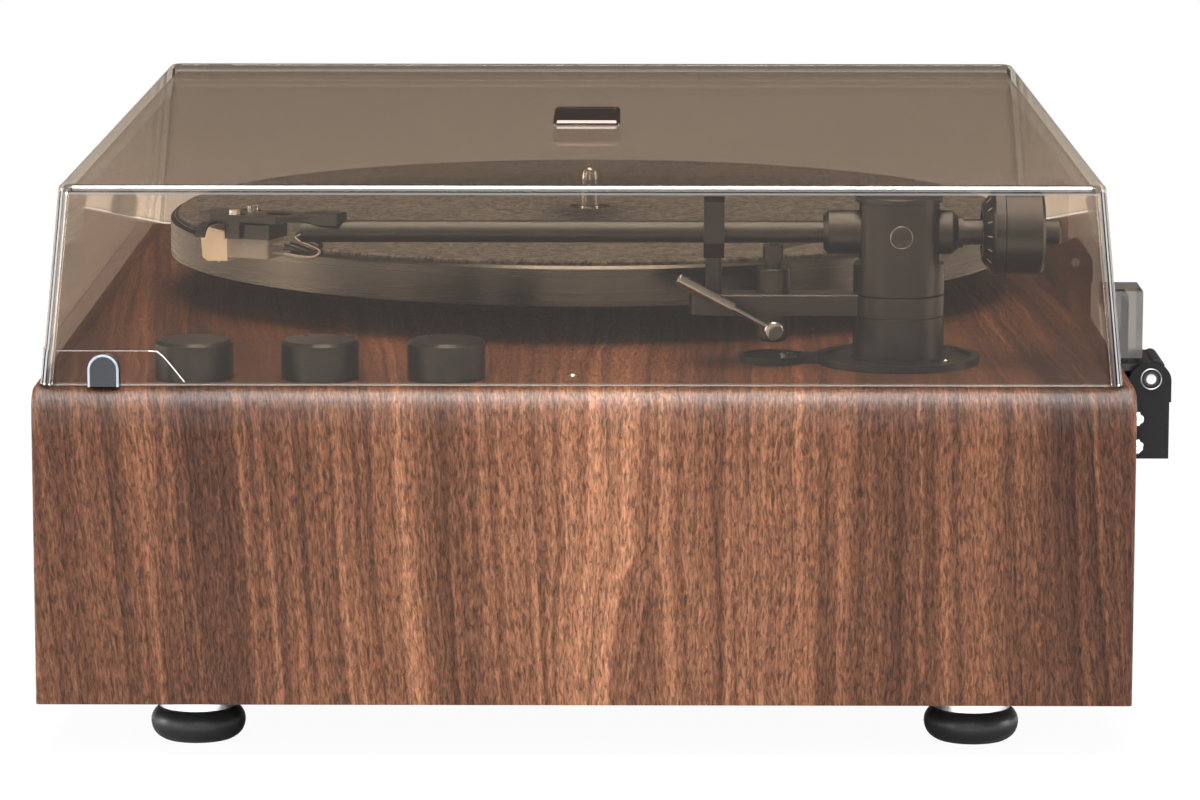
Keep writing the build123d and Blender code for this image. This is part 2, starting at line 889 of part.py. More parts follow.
with BuildPart() as rest_bar:
    with BuildSketch(Plane.XY.offset(bar_z)) as bar_outline:
        with Locations((arm_x, arm_y)):
            Circle(pillar_radius)
        with Locations((arm_x, (arm_y + bar_end_y) / 2)):
            Rectangle(bar_width, arm_y - bar_end_y)
        fillet(bar_outline.vertices().group_by(Axis.Y)[0], bar_half - 0.5)
        with Locations((arm_x, arm_y)):
            Circle(stem_radius, mode=Mode.SUBTRACT)
        with Locations((arm_x, lift_y)):
            Circle(lift_radius_outer, mode=Mode.SUBTRACT)
    extrude(amount=bar_thickness)
    chamfer(rest_bar.faces().sort_by(Axis.Z)[-1].outer_wire().edges(), 0.4)
keep(rest_bar.part, "rest_bar")

# Arm rest: a post and a cradle that is open above and towards the platter
clip_width = 6.7
clip_gap = 0.9
clip_wall = 2.6
clip_top = tube_z + 12.5
clip_floor = tube_z - tube_radius - clip_gap

with BuildPart() as arm_rest:
    with BuildSketch(Plane.XZ.offset(-(rest_y + clip_width / 2))):
        inner = tube_radius + clip_gap
        with BuildLine():
            Polyline(
                (arm_x - inner, clip_floor + 0.2),
                (arm_x - inner, clip_floor - clip_wall + 1),
                (arm_x - 2, clip_floor - clip_wall - 1.2),
                (arm_x + 3, clip_floor - clip_wall - 1.2),
                (arm_x + inner + clip_wall, clip_floor + 1.5),
                (arm_x + inner + clip_wall, clip_top - 2),
                (arm_x + inner + clip_wall + 1.2, clip_top),
                (arm_x + inner + 1.6, clip_top),
                (arm_x + inner, clip_top - 3),
                (arm_x + inner, tube_z - 0.5),
            )
            ThreePointArc(
                (arm_x + inner, tube_z - 0.5),
                (arm_x + inner * 0.72, clip_floor + 1.1),
                (arm_x, clip_floor),
            )
            Line((arm_x, clip_floor), (arm_x - inner, clip_floor + 0.2))
        make_face()
    extrude(amount=clip_width)
    with BuildSketch(Plane.XY.offset(bar_top)):
        with Locations((arm_x, rest_y)):
            RectangleRounded(6, clip_width - 1.4, 1.5)
    extrude(amount=clip_floor - clip_wall - 1.0 - bar_top)
keep(arm_rest.part, "arm_rest")

# Cue lift: a fixed cylinder through the bar, a rising platform and the lever that works it
cylinder_bottom = deck_z + 7.0
cylinder_top = deck_z + 31.1
cue_top = tube_z - tube_radius - 0.8
piston_radius = 2.9
lever_z = deck_z + 12.2
lever_shaft_radius = 1.5
lever_side = lift_radius_outer + body_gap

with BuildPart() as cue_cylinder:
    with BuildSketch(upright(arm_x, lift_y)):
        with BuildLine():
            bore = piston_radius + running_gap
            bore_bottom = lever_z + 4.0
            Polyline(
                (0, cylinder_bottom),
                (lift_radius_outer - 1.5, cylinder_bottom),
                (lift_radius_outer, cylinder_bottom + 1.5),
                (lift_radius_outer, cylinder_top - 0.4),
                (lift_radius_outer - 0.4, cylinder_top),
                (bore, cylinder_top),
                (bore, bore_bottom),
                (0, bore_bottom),
                (0, cylinder_bottom),
            )
        make_face()
    turn_upright(arm_x, lift_y)
    with BuildSketch(Plane.YZ.offset(arm_x)):
        with Locations((lift_y, lever_z)):
            Circle(lever_shaft_radius + running_gap)
    extrude(amount=2 * lift_radius_outer, mode=Mode.SUBTRACT)
keep(cue_cylinder.part, "cue_cylinder")

arc_width = 3.4
arc_thickness = 3.2
arc_sweep = 52.0
lift_head = 6.6
piston_low = lever_z + 4.0 + lift_travel + body_gap
head_low = cylinder_top + lift_travel + body_gap

with BuildPart() as cue_platform:
    with BuildSketch(Plane.XY.offset(piston_low)):
        with Locations((arm_x, lift_y)):
            Circle(piston_radius)
    extrude(amount=cue_top - piston_low)
    with BuildSketch(Plane.XY.offset(head_low)):
        with Locations((arm_x, lift_y)):
            RectangleRounded(lift_head, lift_head, 1.0)
    extrude(amount=cue_top - head_low)
    with BuildSketch(Plane.XY.offset(cue_top - arc_thickness)):
        with BuildLine():
            CenterArc((arm_x, arm_y), lift_radius + arc_width / 2, 270 - arc_sweep, arc_sweep)
            CenterArc((arm_x, arm_y), lift_radius - arc_width / 2, 270 - arc_sweep, arc_sweep)
            far = radians(270 - arc_sweep)
            for end in ((cos(far), sin(far)), (0, -1)):
                Line(
                    *[
                        (arm_x + (lift_radius + s * arc_width / 2) * end[0],
                         arm_y + (lift_radius + s * arc_width / 2) * end[1])
                        for s in (-1, 1)
                    ]
                )
        make_face()
    extrude(amount=arc_thickness)
    with BuildSketch(Plane.XY.offset(cue_top)):
        with Locations((arm_x + 0.9, lift_y)):
            Rectangle(3.0, 2.6)
    extrude(amount=-1.6, mode=Mode.SUBTRACT)
keep(cue_platform.part, "cue_platform")

lever_rise = 28.5
rod_radius = 0.9
handle_radius = 1.9
lever_reach = 35.5
lever_knee = 15.0
lever_x = arm_x + lever_side + 7.0

with BuildPart() as cue_lever:
    with BuildSketch(Plane.YZ.offset(arm_x + body_gap)):
        with Locations((lift_y, lever_z)):
            Circle(lever_shaft_radius)
    extrude(amount=lever_side)
    with BuildSketch(Plane.YZ.offset(arm_x + lever_side)):
        with Locations((lift_y, lever_z)):
            Circle(3.1)
    extrude(amount=10.0)
    chamfer(cue_lever.edges().group_by(Axis.X)[-1], 0.5)
    rise = radians(lever_rise)
    along = (0, -cos(rise), sin(rise))
    with BuildSketch(Plane(origin=(lever_x, lift_y, lever_z), z_dir=along)):
        Circle(rod_radius)
    extrude(amount=lever_knee)
    knee = (
        lever_x,
        lift_y - lever_knee * cos(rise),
        lever_z + lever_knee * sin(rise),
    )
    with BuildSketch(Plane(origin=knee, z_dir=along)):
        Circle(handle_radius)
    extrude(amount=lever_reach - lever_knee)
    fillet(cue_lever.edges().group_by(Axis.Y)[0], 0.6)
keep(cue_lever.part, "cue_lever")

# Swinging yoke: a slotted barrel with a cap, turning on the pillar's spigot
yoke_bottom = bar_top + body_gap
cap_thickness = 2.0
yoke_cap_z = deck_z + yoke_top - cap_thickness
slot_floor = tube_z - hub_radius - 0.4
slot_drop = 2.8
pivot_screw_radius = 3.5

with BuildPart() as arm_yoke:
    with BuildSketch(Plane.XY.offset(yoke_bottom)):
        with Locations((arm_x, arm_y)):
            Circle(pillar_radius)
            Circle(spigot_radius + running_gap, mode=Mode.SUBTRACT)
    extrude(amount=spigot_top + body_gap - yoke_bottom)
    with BuildSketch(Plane.XY.offset(spigot_top + body_gap)):
        with Locations((arm_x, arm_y)):
            Circle(pillar_radius)
    extrude(amount=yoke_cap_z - spigot_top - body_gap)
    with BuildSketch(Plane.YZ.offset(arm_x - yoke_slot / 2)):
        with BuildLine():
            Polyline(
                (arm_y - pillar_radius - 1, yoke_cap_z + 1),
                (arm_y - pillar_radius - 1, slot_floor - slot_drop),
                (arm_y, slot_floor),
                (arm_y + pillar_radius + 1, slot_floor - slot_drop),
                (arm_y + pillar_radius + 1, yoke_cap_z + 1),
                close=True,
            )
        make_face()
    extrude(amount=yoke_slot, mode=Mode.SUBTRACT)
    with BuildSketch(Plane.YZ.offset(arm_x - pillar_radius)):
        with Locations((arm_y, tube_z)):
            Circle(pivot_screw_radius)
    extrude(amount=2 * pillar_radius, mode=Mode.SUBTRACT)
keep(arm_yoke.part, "arm_yoke")

with BuildPart() as yoke_cap:
    with BuildSketch(Plane.XY.offset(yoke_cap_z)):
        with Locations((arm_x, arm_y)):
            Circle(pillar_radius - 0.4)
    extrude(amount=cap_thickness)
    fillet(yoke_cap.edges().group_by(Axis.Z)[-1], 0.8)
keep(yoke_cap.part, "yoke_cap")

# Pivot screws: their points sit in cups in the hub, so the tube tilts between them
point_radius = 1.4
screw_proud = 0.5

with BuildPart() as pivot_screws:
    for side in (-1, 1):
        start = arm_x + side * (pillar_radius + screw_proud)
        with BuildSketch(Plane.YZ.offset(start)):
            with Locations((arm_y, tube_z)):
                Circle(pivot_screw_radius)
        extrude(amount=side * (yoke_slot / 2 - pillar_radius - screw_proud))
        with BuildSketch(Plane.YZ.offset(arm_x + side * yoke_slot / 2)):
            with Locations((arm_y, tube_z)):
                Circle(point_radius)
        extrude(amount=-side * 3.0)
        with BuildSketch(Plane.YZ.offset(start)):
            with Locations((arm_y, tube_z)):
                Rectangle(5.2, 0.9)
        extrude(amount=-side * 0.8, mode=Mode.SUBTRACT)
keep(pivot_screws.part, "pivot_screws")

# Arm tube: hub with front and rear collars, the long tube and the threaded tail
with BuildPart() as arm_hub:
    with BuildSketch(lengthwise(arm_x, arm_y, tube_z)):
        with BuildLine():
            Polyline(
                (-hub_front, tube_radius),
                (-hub_front, hub_radius - 1.6),
                (-hub_front + 1.6, hub_radius),
                (hub_back - 3.6, hub_radius),
                (hub_back - 1.6, hub_radius - 1.8),
                (hub_back - 1.6, tail_radius + 0.9),
                (hub_back, tail_radius + 0.9),
                (hub_back, tail_radius),
                (4, tail_radius),
                (4, tube_radius),
                (-hub_front, tube_radius),
            )
        make_face()
    turn_lengthwise(arm_x, tube_z)
    with BuildSketch(Plane.YZ.offset(arm_x - hub_radius)):
        with Locations((arm_y, tube_z)):
            Circle(point_radius + running_gap)
    extrude(amount=2 * hub_radius, mode=Mode.SUBTRACT)
keep(arm_hub.part, "arm_hub")

with BuildPart() as arm_tube:
    with BuildSketch(lengthwise(arm_x, arm_y, tube_z)):
        with BuildLine():
            inner = tube_radius - 0.9
            Polyline(
                (-tube_end, inner),
                (-tube_end, tube_radius),
                (4, tube_radius),
                (4, tail_radius),
                (tail_end - 0.8, tail_radius),
                (tail_end, tail_radius - 0.8),
                (tail_end, 0),
                (-tube_end + tube_bore_depth, 0),
                (-tube_end + tube_bore_depth, inner),
                (-tube_end, inner),
            )
        make_face()
    turn_lengthwise(arm_x, tube_z)
keep(arm_tube.part, "arm_tube")

with BuildPart() as counterweight:
    with BuildSketch(lengthwise(arm_x, arm_y, tube_z)):
        with BuildLine():
            bore = tail_radius + running_gap
            end = weight_start + weight_length
            sleeve = 7.0
            Polyline(
                (dial_start + 1.0, bore),
                (dial_start + 1.0, sleeve),
                (weight_start, sleeve),
                (weight_start, weight_radius),
                (end - 1.0, weight_radius),
                (end, weight_radius - 1.0),
                (end, 8.0),
                (end - 2.0, 7.4),
                (end - 2.0, bore),
                (dial_start + 1.0, bore),
            )
        make_face()
    turn_lengthwise(arm_x, tube_z)
keep(counterweight.part, "counterweight")

with BuildPart() as tracking_dial:
    with BuildSketch(lengthwise(arm_x, arm_y, tube_z)):
        with BuildLine():
            bore = sleeve + running_gap
            face_end = weight_start - body_gap
            Polyline(
                (dial_start, bore),
                (dial_start, 9.4),
                (dial_start + 3.2, dial_radius - 0.8),
                (dial_start + 4.0, dial_radius),
                (face_end, dial_radius),
                (face_end, bore),
                (dial_start, bore),
            )
        make_face()
    turn_lengthwise(arm_x, tube_z)
    ridge_count = 36
    with BuildSketch(lengthwise(arm_x, arm_y + face_end, tube_z).rotated((0, 90, 0))):
        with PolarLocations(dial_radius, ridge_count):
            Circle(0.45)
    extrude(amount=-(face_end - dial_start - 4.6), mode=Mode.SUBTRACT)
keep(tracking_dial.part, "tracking_dial")

# Headshell and cartridge, drawn on a plane that follows the shell's offset angle
turn = radians(shell_angle)
shell_z = tube_z + shell_over_tube
bend_y = arm_y - shell_start


def shell_plane(z, out=0.0, right=0.0):
    """Plane at height z, x forward along the shell and y to its right."""
    x = arm_x - out * sin(turn) + right * cos(turn)
    y = bend_y - out * cos(turn) - right * sin(turn)
    return Plane(origin=(x, y, z), x_dir=(-sin(turn), -cos(turn), 0), z_dir=(0, 0, 1))


screw_out = stylus_reach - screw_setback
half_shell = shell_width / 2

with BuildPart() as headshell:
    with BuildSketch(shell_plane(shell_z)):
        with BuildLine():
            Polyline(
                (-6, -tube_radius),
                (4, -tube_radius - 0.6),
                (14, -half_shell),
                (shell_length - 6, -half_shell),
                (shell_length, -half_shell + 3.4),
                (shell_length, half_shell - 3.4),
                (shell_length - 6, half_shell),
                (14, half_shell),
                (4, tube_radius + 0.6),
                (-6, tube_radius),
                close=True,
            )
        make_face()
        with Locations((screw_out, -screw_spacing / 2), (screw_out, screw_spacing / 2)):
            SlotOverall(7.0, 2.7, mode=Mode.SUBTRACT)
        with Locations((17.0, 0)):
            SlotOverall(9, 5, mode=Mode.SUBTRACT)
    extrude(amount=shell_thickness)
    with BuildSketch(shell_plane(shell_z + shell_thickness)):
        with Locations((0, 0)):
            Rectangle(12, 2 * tube_radius)
    extrude(amount=1.6)
    fillet(headshell.edges().group_by(Axis.Z)[-1], 0.6)
    with BuildSketch(lengthwise(arm_x, arm_y, tube_z)):
        with BuildLine():
            Polyline(
                (-tube_end - 6, 0),
                (-tube_end - 6, tube_radius + slip),
                (-shell_start + 14, tube_radius + slip),
                (-shell_start + 14, 0),
                close=True,
            )
        make_face()
    revolve(axis=Axis((arm_x, 0, tube_z), (0, 1, 0)), mode=Mode.SUBTRACT)
keep(headshell.part, "headshell")

finger_thickness = 0.9
finger_out = 35.6
finger_width = 3.4
finger_reach = 9.0

with BuildPart() as finger_lift:
    with BuildSketch(shell_plane(shell_z - finger_thickness)):
        with Locations(((screw_out + finger_out + finger_width) / 2 - 1.5, 0)):
            Rectangle(finger_out + finger_width - screw_out + 3.0, screw_spacing + 4.0)
        with Locations((screw_out, -screw_spacing / 2), (screw_out, screw_spacing / 2)):
            Circle(1.3, mode=Mode.SUBTRACT)
    extrude(amount=finger_thickness)
    start = shell_plane(shell_z, finger_out)
    with BuildSketch(Plane(origin=start.origin, x_dir=start.y_dir, z_dir=-start.x_dir)):
        edge = half_shell + finger_reach
        with BuildLine():
            Line((half_shell - 4, 0), (edge - 5, 0))
            ThreePointArc((edge - 5, 0), (edge - 1.4, 1.6), (edge, 4.4))
            Line((edge, 4.4), (edge - finger_thickness, 4.4))
            ThreePointArc(
                (edge - finger_thickness, 4.4), (edge - 2.1, 2.3), (edge - 5, finger_thickness)
            )
            Polyline(
                (edge - 5, finger_thickness),
                (half_shell - 4, finger_thickness),
                (half_shell - 4, 0),
            )
        make_face()
    extrude(amount=-finger_width)
keep(finger_lift.part, "finger_lift")

body_back = 17.5
body_front = 33.4
body_height = 5.6
can_height = 6.5
can_half = 5.6
pin_radius = 0.6
pin_length = 4.4

with BuildPart() as cartridge_body:
    with BuildSketch(shell_plane(shell_z - finger_thickness)):
        with Locations(((body_back + body_front) / 2, 0)):
            Rectangle(body_front - body_back, 13.0)
        with Locations((screw_out, 0)):
            Rectangle(5.4, screw_spacing + 4.2)
        with Locations((screw_out, -screw_spacing / 2), (screw_out, screw_spacing / 2)):
            Circle(1.3, mode=Mode.SUBTRACT)
    extrude(amount=-(body_height - finger_thickness))
keep(cartridge_body.part, "cartridge_body")

with BuildPart() as cartridge_can:
    with BuildSketch(shell_plane(shell_z - body_height)):
        with Locations(((body_back + body_front) / 2 + 0.4, 0)):
            RectangleRounded(body_front - body_back - 0.8, 2 * can_half, 0.8)
    extrude(amount=-can_height)
    for right in (-2.2, 2.2):
        for up in (1.6, 4.6):
            spot = shell_plane(shell_z - body_height - can_height + up, body_back + 1.0, right)
            with BuildSketch(Plane(origin=spot.origin, z_dir=-spot.x_dir)):
                Circle(pin_radius)
            extrude(amount=pin_length)
keep(cartridge_can.part, "cartridge_can")

holder_back = 33.5
holder_front = 43.4
holder_top = shell_z - 2.6
holder_bottom = tube_z - 11.4
holder_half = 5.4
tip_z = holder_bottom - 1.1

with BuildPart() as stylus_unit:
    start = shell_plane(0, 0, holder_half)
    with BuildSketch(Plane(origin=start.origin, x_dir=start.x_dir, z_dir=-start.y_dir)):
        with BuildLine():
            Polyline(
                (holder_back, holder_bottom + 0.4),
                (holder_back, holder_top - 1.2),
                (holder_front - 3.0, holder_top),
                (holder_front, holder_top - 2.4),
                (holder_front - 0.6, holder_bottom + 1.2),
                (holder_front - 2.4, holder_bottom),
                close=True,
            )
        make_face()
    extrude(amount=2 * holder_half)
    with BuildSketch(shell_plane(tip_z, stylus_reach)):
        Circle(0.15)
    with BuildSketch(shell_plane(holder_bottom + 0.3, stylus_reach)):
        Circle(0.7)
    loft()
keep(stylus_unit.part, "stylus_unit")

with BuildPart() as headshell_screws:
    for right in (-screw_spacing / 2, screw_spacing / 2):
        with BuildSketch(shell_plane(shell_z + shell_thickness, screw_out, right)):
            Circle(2.1)
        extrude(amount=1.5)
        with BuildSketch(shell_plane(shell_z + shell_thickness, screw_out, right)):
            Circle(1.25)
        extrude(amount=-(shell_thickness + body_height - 0.4))
keep(headshell_screws.part, "headshell_screws")

# Lid: a leaning smoked shell with a slightly proud skirt round its front
lid_z = deck_z + lid_gap
lid_front = front_y + lid_inset_front
lid_back = back_y - lid_inset_back
lid_half = right_x - lid_inset_x
lid_top = lid_z + lid_height
socket_low = lid_z + 1.0
socket_back = pin_y - 2.5
tongue_y = pin_y - 8.2


def lid_outline(inset, z):
    """Sketch one level of the lid's outer form, pulled in by inset, in the open sketch."""
    rise = (z - lid_z) / lid_height
    half = lid_half - lid_lean_x * rise - inset
    front = lid_front + lid_lean_front * rise + inset
    back = lid_back - lid_lean_back * rise - inset
    with Locations((0, (front + back) / 2)):
        RectangleRounded(2 * half, back - front, max(lid_corner - inset, 1.5))


with BuildPart() as front_skirt:
    for z in (lid_z, lid_z + skirt_height + 2):
        with BuildSketch(Plane.XY.offset(z)):
            lid_outline(-skirt_proud, z)
    loft()
    with BuildSketch(Plane.YZ.offset(-right_x)):
        with BuildLine():
            top = lid_z + skirt_height
            bend = lid_front + skirt_length
            foot = lid_front + skirt_foot
            Line((lid_front - 5, top), (bend, top))
            Bezier((bend, top), (bend + 5, top - 1), (foot - 4, lid_z + 4), (foot, lid_z))
            Polyline((foot, lid_z), (lid_front - 5, lid_z), (lid_front - 5, top))
        make_face()
    extrude(amount=case_width, mode=Mode.INTERSECT)

with BuildPart() as lid:
    for z in (lid_z, lid_top):
        with BuildSketch(Plane.XY.offset(z)):
            lid_outline(0, z)
    loft()
    fillet(lid.faces().sort_by(Axis.Z)[-1].edges(), lid_top_round)
    add(front_skirt.part)
    for z in (lid_z, lid_top - lid_wall):
        with BuildSketch(Plane.XY.offset(z)):
            lid_outline(lid_wall, z)
    loft(mode=Mode.SUBTRACT)
    with BuildSketch(Plane.YZ.offset(-right_x)):
        with Locations((lid_front + bumper_inset, lid_z)):
            Rectangle(bumper_width, bumper_width)
            with Locations((0, bumper_width / 2)):
                Circle(bumper_width / 2)
    extrude(amount=case_width, mode=Mode.SUBTRACT)
    for x in hinge_xs:
        with BuildSketch(Plane.XY.offset(socket_low)):
            with Locations((x, (lid_back - lid_wall / 2 + socket_back) / 2)):
                Rectangle(socket_width, socket_back - lid_back + lid_wall / 2)
        extrude(amount=socket_height)
        with BuildSketch(Plane.XY.offset(socket_low)):
            with Locations((x, tongue_y)):
                Rectangle(socket_width - 5, tongue_thickness + 2 * slip)
        extrude(amount=socket_height - 2.0, mode=Mode.SUBTRACT)
keep(lid.part, "lid")

with BuildPart() as lid_bumpers:
    for side in (-1, 1):
        with BuildSketch(Plane.YZ.offset(side * (lid_half + skirt_proud + 0.2))):
            with Locations((lid_front + bumper_inset, lid_z)):
                with Locations((0, bumper_width / 2)):
                    Circle(bumper_width / 2)
                with Locations((0, bumper_width / 4 - lid_gap / 2 + 0.1)):
                    Rectangle(bumper_width, bumper_width / 2 + lid_gap - 0.2)
        extrude(amount=-side * (lid_wall + 1.4))
keep(lid_bumpers.part, "lid_bumpers")

badge_y = (lid_front + lid_lean_front + lid_back - lid_lean_back) / 2

with BuildPart() as lid_badge:
    with BuildSketch(Plane.XY.offset(lid_top)):
        with Locations((0, badge_y)):
            RectangleRounded(badge_length, badge_width, 1.6)
    extrude(amount=badge_thickness)
    chamfer(lid_badge.edges().group_by(Axis.Z)[-1], 0.9)
    with BuildSketch(Plane.XY.offset(lid_top + badge_thickness)):
        with Locations((0, badge_y)):
            RectangleRounded(badge_length - 3.2, badge_width - 3.2, 0.8)
    extrude(amount=-0.5, mode=Mode.SUBTRACT)
keep(lid_badge.part, "lid_badge")

# Hinges: arms whose tongues sit in the lid's sockets, brackets on the case, pins, screws
arm_width = hinge_width - 2 * cheek_thickness - 0.4
bracket_low = pin_z - hinge_drop + 4.6
cheek_foot = pin_z - 7.7
flange_thickness = 4.2
head_radius = 2.6
head_height = 2.5
collar_radius = 3.4
collar_height = 0.4

with BuildPart() as hinge_arms:
    for x in hinge_xs:
        with BuildSketch(Plane.YZ.offset(x - arm_width / 2)):
            with Locations((pin_y, pin_z)):
                Circle(knuckle_radius)
            with Locations((pin_y + 2.4, pin_z + 3.4)):
                Circle(2.4)
            with Locations(((tongue_y - tongue_thickness / 2 + pin_y + 4.5) / 2, pin_z + 3.2)):
                Rectangle(pin_y + 4.5 - tongue_y + tongue_thickness / 2, 2.4)
            with Locations((pin_y, pin_z)):
                Circle(hinge_pin_radius + running_gap, mode=Mode.SUBTRACT)
        extrude(amount=arm_width)
        with BuildSketch(Plane.XY.offset(pin_z + 3.0)):
            with Locations((x, tongue_y)):
                Rectangle(socket_width - 5 - 2 * slip, tongue_thickness)
        extrude(amount=socket_low + socket_height - 4.0 - pin_z - 3.0)
keep(hinge_arms.part, "hinge_arms")

with BuildPart() as hinge_brackets:
    for x in hinge_xs:
        for side in (-1, 1):
            with BuildSketch(Plane.YZ.offset(x + side * hinge_width / 2)):
                with BuildLine():
                    Polyline(
                        (back_y, bracket_low),
                        (back_y, pin_z - 5.0),
                        (pin_y - 7.1, pin_z - 0.5),
                    )
                    ThreePointArc(
                        (pin_y - 7.1, pin_z - 0.5),
                        (pin_y - 5.0, pin_z + 3.4),
                        (pin_y - 1.0, pin_z + 4.8),
                    )
                    Line((pin_y - 1.0, pin_z + 4.8), (pin_y + 1.5, pin_z + 4.8))
                    ThreePointArc(
                        (pin_y + 1.5, pin_z + 4.8),
                        (pin_y + 5.2, pin_z + 3.1),
                        (pin_y + 6.7, pin_z - 0.6),
                    )
                    Polyline(
                        (pin_y + 6.7, pin_z - 0.6),
                        (pin_y + 6.7, cheek_foot),
                        (pin_y + 6.1, cheek_foot),
                        (pin_y + 6.1, bracket_low),
                        (back_y, bracket_low),
                    )
                make_face()
                with Locations((pin_y, pin_z)):
                    Circle(hinge_pin_radius, mode=Mode.SUBTRACT)
            extrude(amount=-side * cheek_thickness)
            with BuildSketch(Plane.YZ.offset(x + side * hinge_width / 2)):
                with Locations((pin_y, pin_z)):
                    Circle(collar_radius)
                    Circle(hinge_pin_radius, mode=Mode.SUBTRACT)
            extrude(amount=side * collar_height)
        with BuildSketch(Plane.YZ.offset(x - hinge_width / 2)):
            with Locations(((back_y + pin_y + 6.1) / 2, (bracket_low + cheek_foot) / 2)):
                Rectangle(pin_y + 6.1 - back_y, cheek_foot - bracket_low)
        extrude(amount=hinge_width)
        with BuildSketch(Plane.XZ.offset(-back_y)):
            with Locations((x, (bracket_low + cheek_foot) / 2)):
                RectangleRounded(
                    hinge_width + 2 * flange_reach, cheek_foot - bracket_low - 1.0, 2.0
                )
            with Locations(*hinge_screw_places):
                Circle(hinge_screw_radius, mode=Mode.SUBTRACT)
        extrude(amount=-flange_thickness)
keep(hinge_brackets.part, "hinge_brackets")

rivet_radius = 1.6
pin_proud = 1.0

with BuildPart() as hinge_pins:
    for x in hinge_xs:
        with BuildSketch(Plane.YZ.offset(x - hinge_width / 2 - 0.3)):
            with Locations((pin_y, pin_z)):
                Circle(hinge_pin_radius)
        extrude(amount=hinge_width + 0.6)
        with BuildSketch(Plane.YZ.offset(x - hinge_width / 2 - pin_proud)):
            with Locations((pin_y, pin_z)):
                Circle(rivet_radius)
        extrude(amount=hinge_width + 2 * pin_proud)
keep(hinge_pins.part, "hinge_pins")

with BuildPart() as hinge_screws:
    for x, z in hinge_screw_places:
        with BuildSketch(lengthwise(x, back_y, z)):
            with BuildLine():
                head = flange_thickness + head_height
                Polyline(
                    (head, 0),
                    (-panel_thickness + 1, 0),
                    (-panel_thickness + 1, hinge_screw_radius),
                    (flange_thickness, hinge_screw_radius),
                    (flange_thickness, head_radius),
                    (head - 1.2, head_radius),
                    (head, head_radius - 1.1),
                    (head, 0),
                )
            make_face()
        turn_lengthwise(x, z)
keep(hinge_screws.part, "hinge_screws")
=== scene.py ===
"""Dresses the record player: walnut, smoked acrylic, black metal, rubber and studio light."""
import json
import math

import bmesh
import bpy
from mathutils import Matrix, Vector


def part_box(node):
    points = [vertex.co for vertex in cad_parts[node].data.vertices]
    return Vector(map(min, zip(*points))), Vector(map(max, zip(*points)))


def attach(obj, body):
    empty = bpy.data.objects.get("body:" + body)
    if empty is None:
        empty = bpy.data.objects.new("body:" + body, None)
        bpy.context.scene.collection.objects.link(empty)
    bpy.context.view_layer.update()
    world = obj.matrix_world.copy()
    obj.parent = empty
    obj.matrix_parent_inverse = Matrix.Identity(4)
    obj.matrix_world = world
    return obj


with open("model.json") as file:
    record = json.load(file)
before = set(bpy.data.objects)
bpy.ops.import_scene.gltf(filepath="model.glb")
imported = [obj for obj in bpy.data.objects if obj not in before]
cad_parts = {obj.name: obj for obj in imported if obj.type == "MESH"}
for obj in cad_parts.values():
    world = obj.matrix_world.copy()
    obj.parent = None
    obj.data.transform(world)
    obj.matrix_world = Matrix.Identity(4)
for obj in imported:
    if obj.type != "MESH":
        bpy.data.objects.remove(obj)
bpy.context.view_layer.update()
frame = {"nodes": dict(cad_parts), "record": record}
nodes = frame["nodes"]

# Places taken from the frame
case_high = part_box("case_shell")[1]
deck_z = case_high.z
side_x = case_high.x
platter_low, platter_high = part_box("platter")
platter_centre = (platter_low + platter_high) / 2
yoke_low, yoke_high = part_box("arm_yoke")
pivot = (yoke_low + yoke_high) / 2
tube_low, tube_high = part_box("arm_tube")
tube_z = (tube_low.z + tube_high.z) / 2


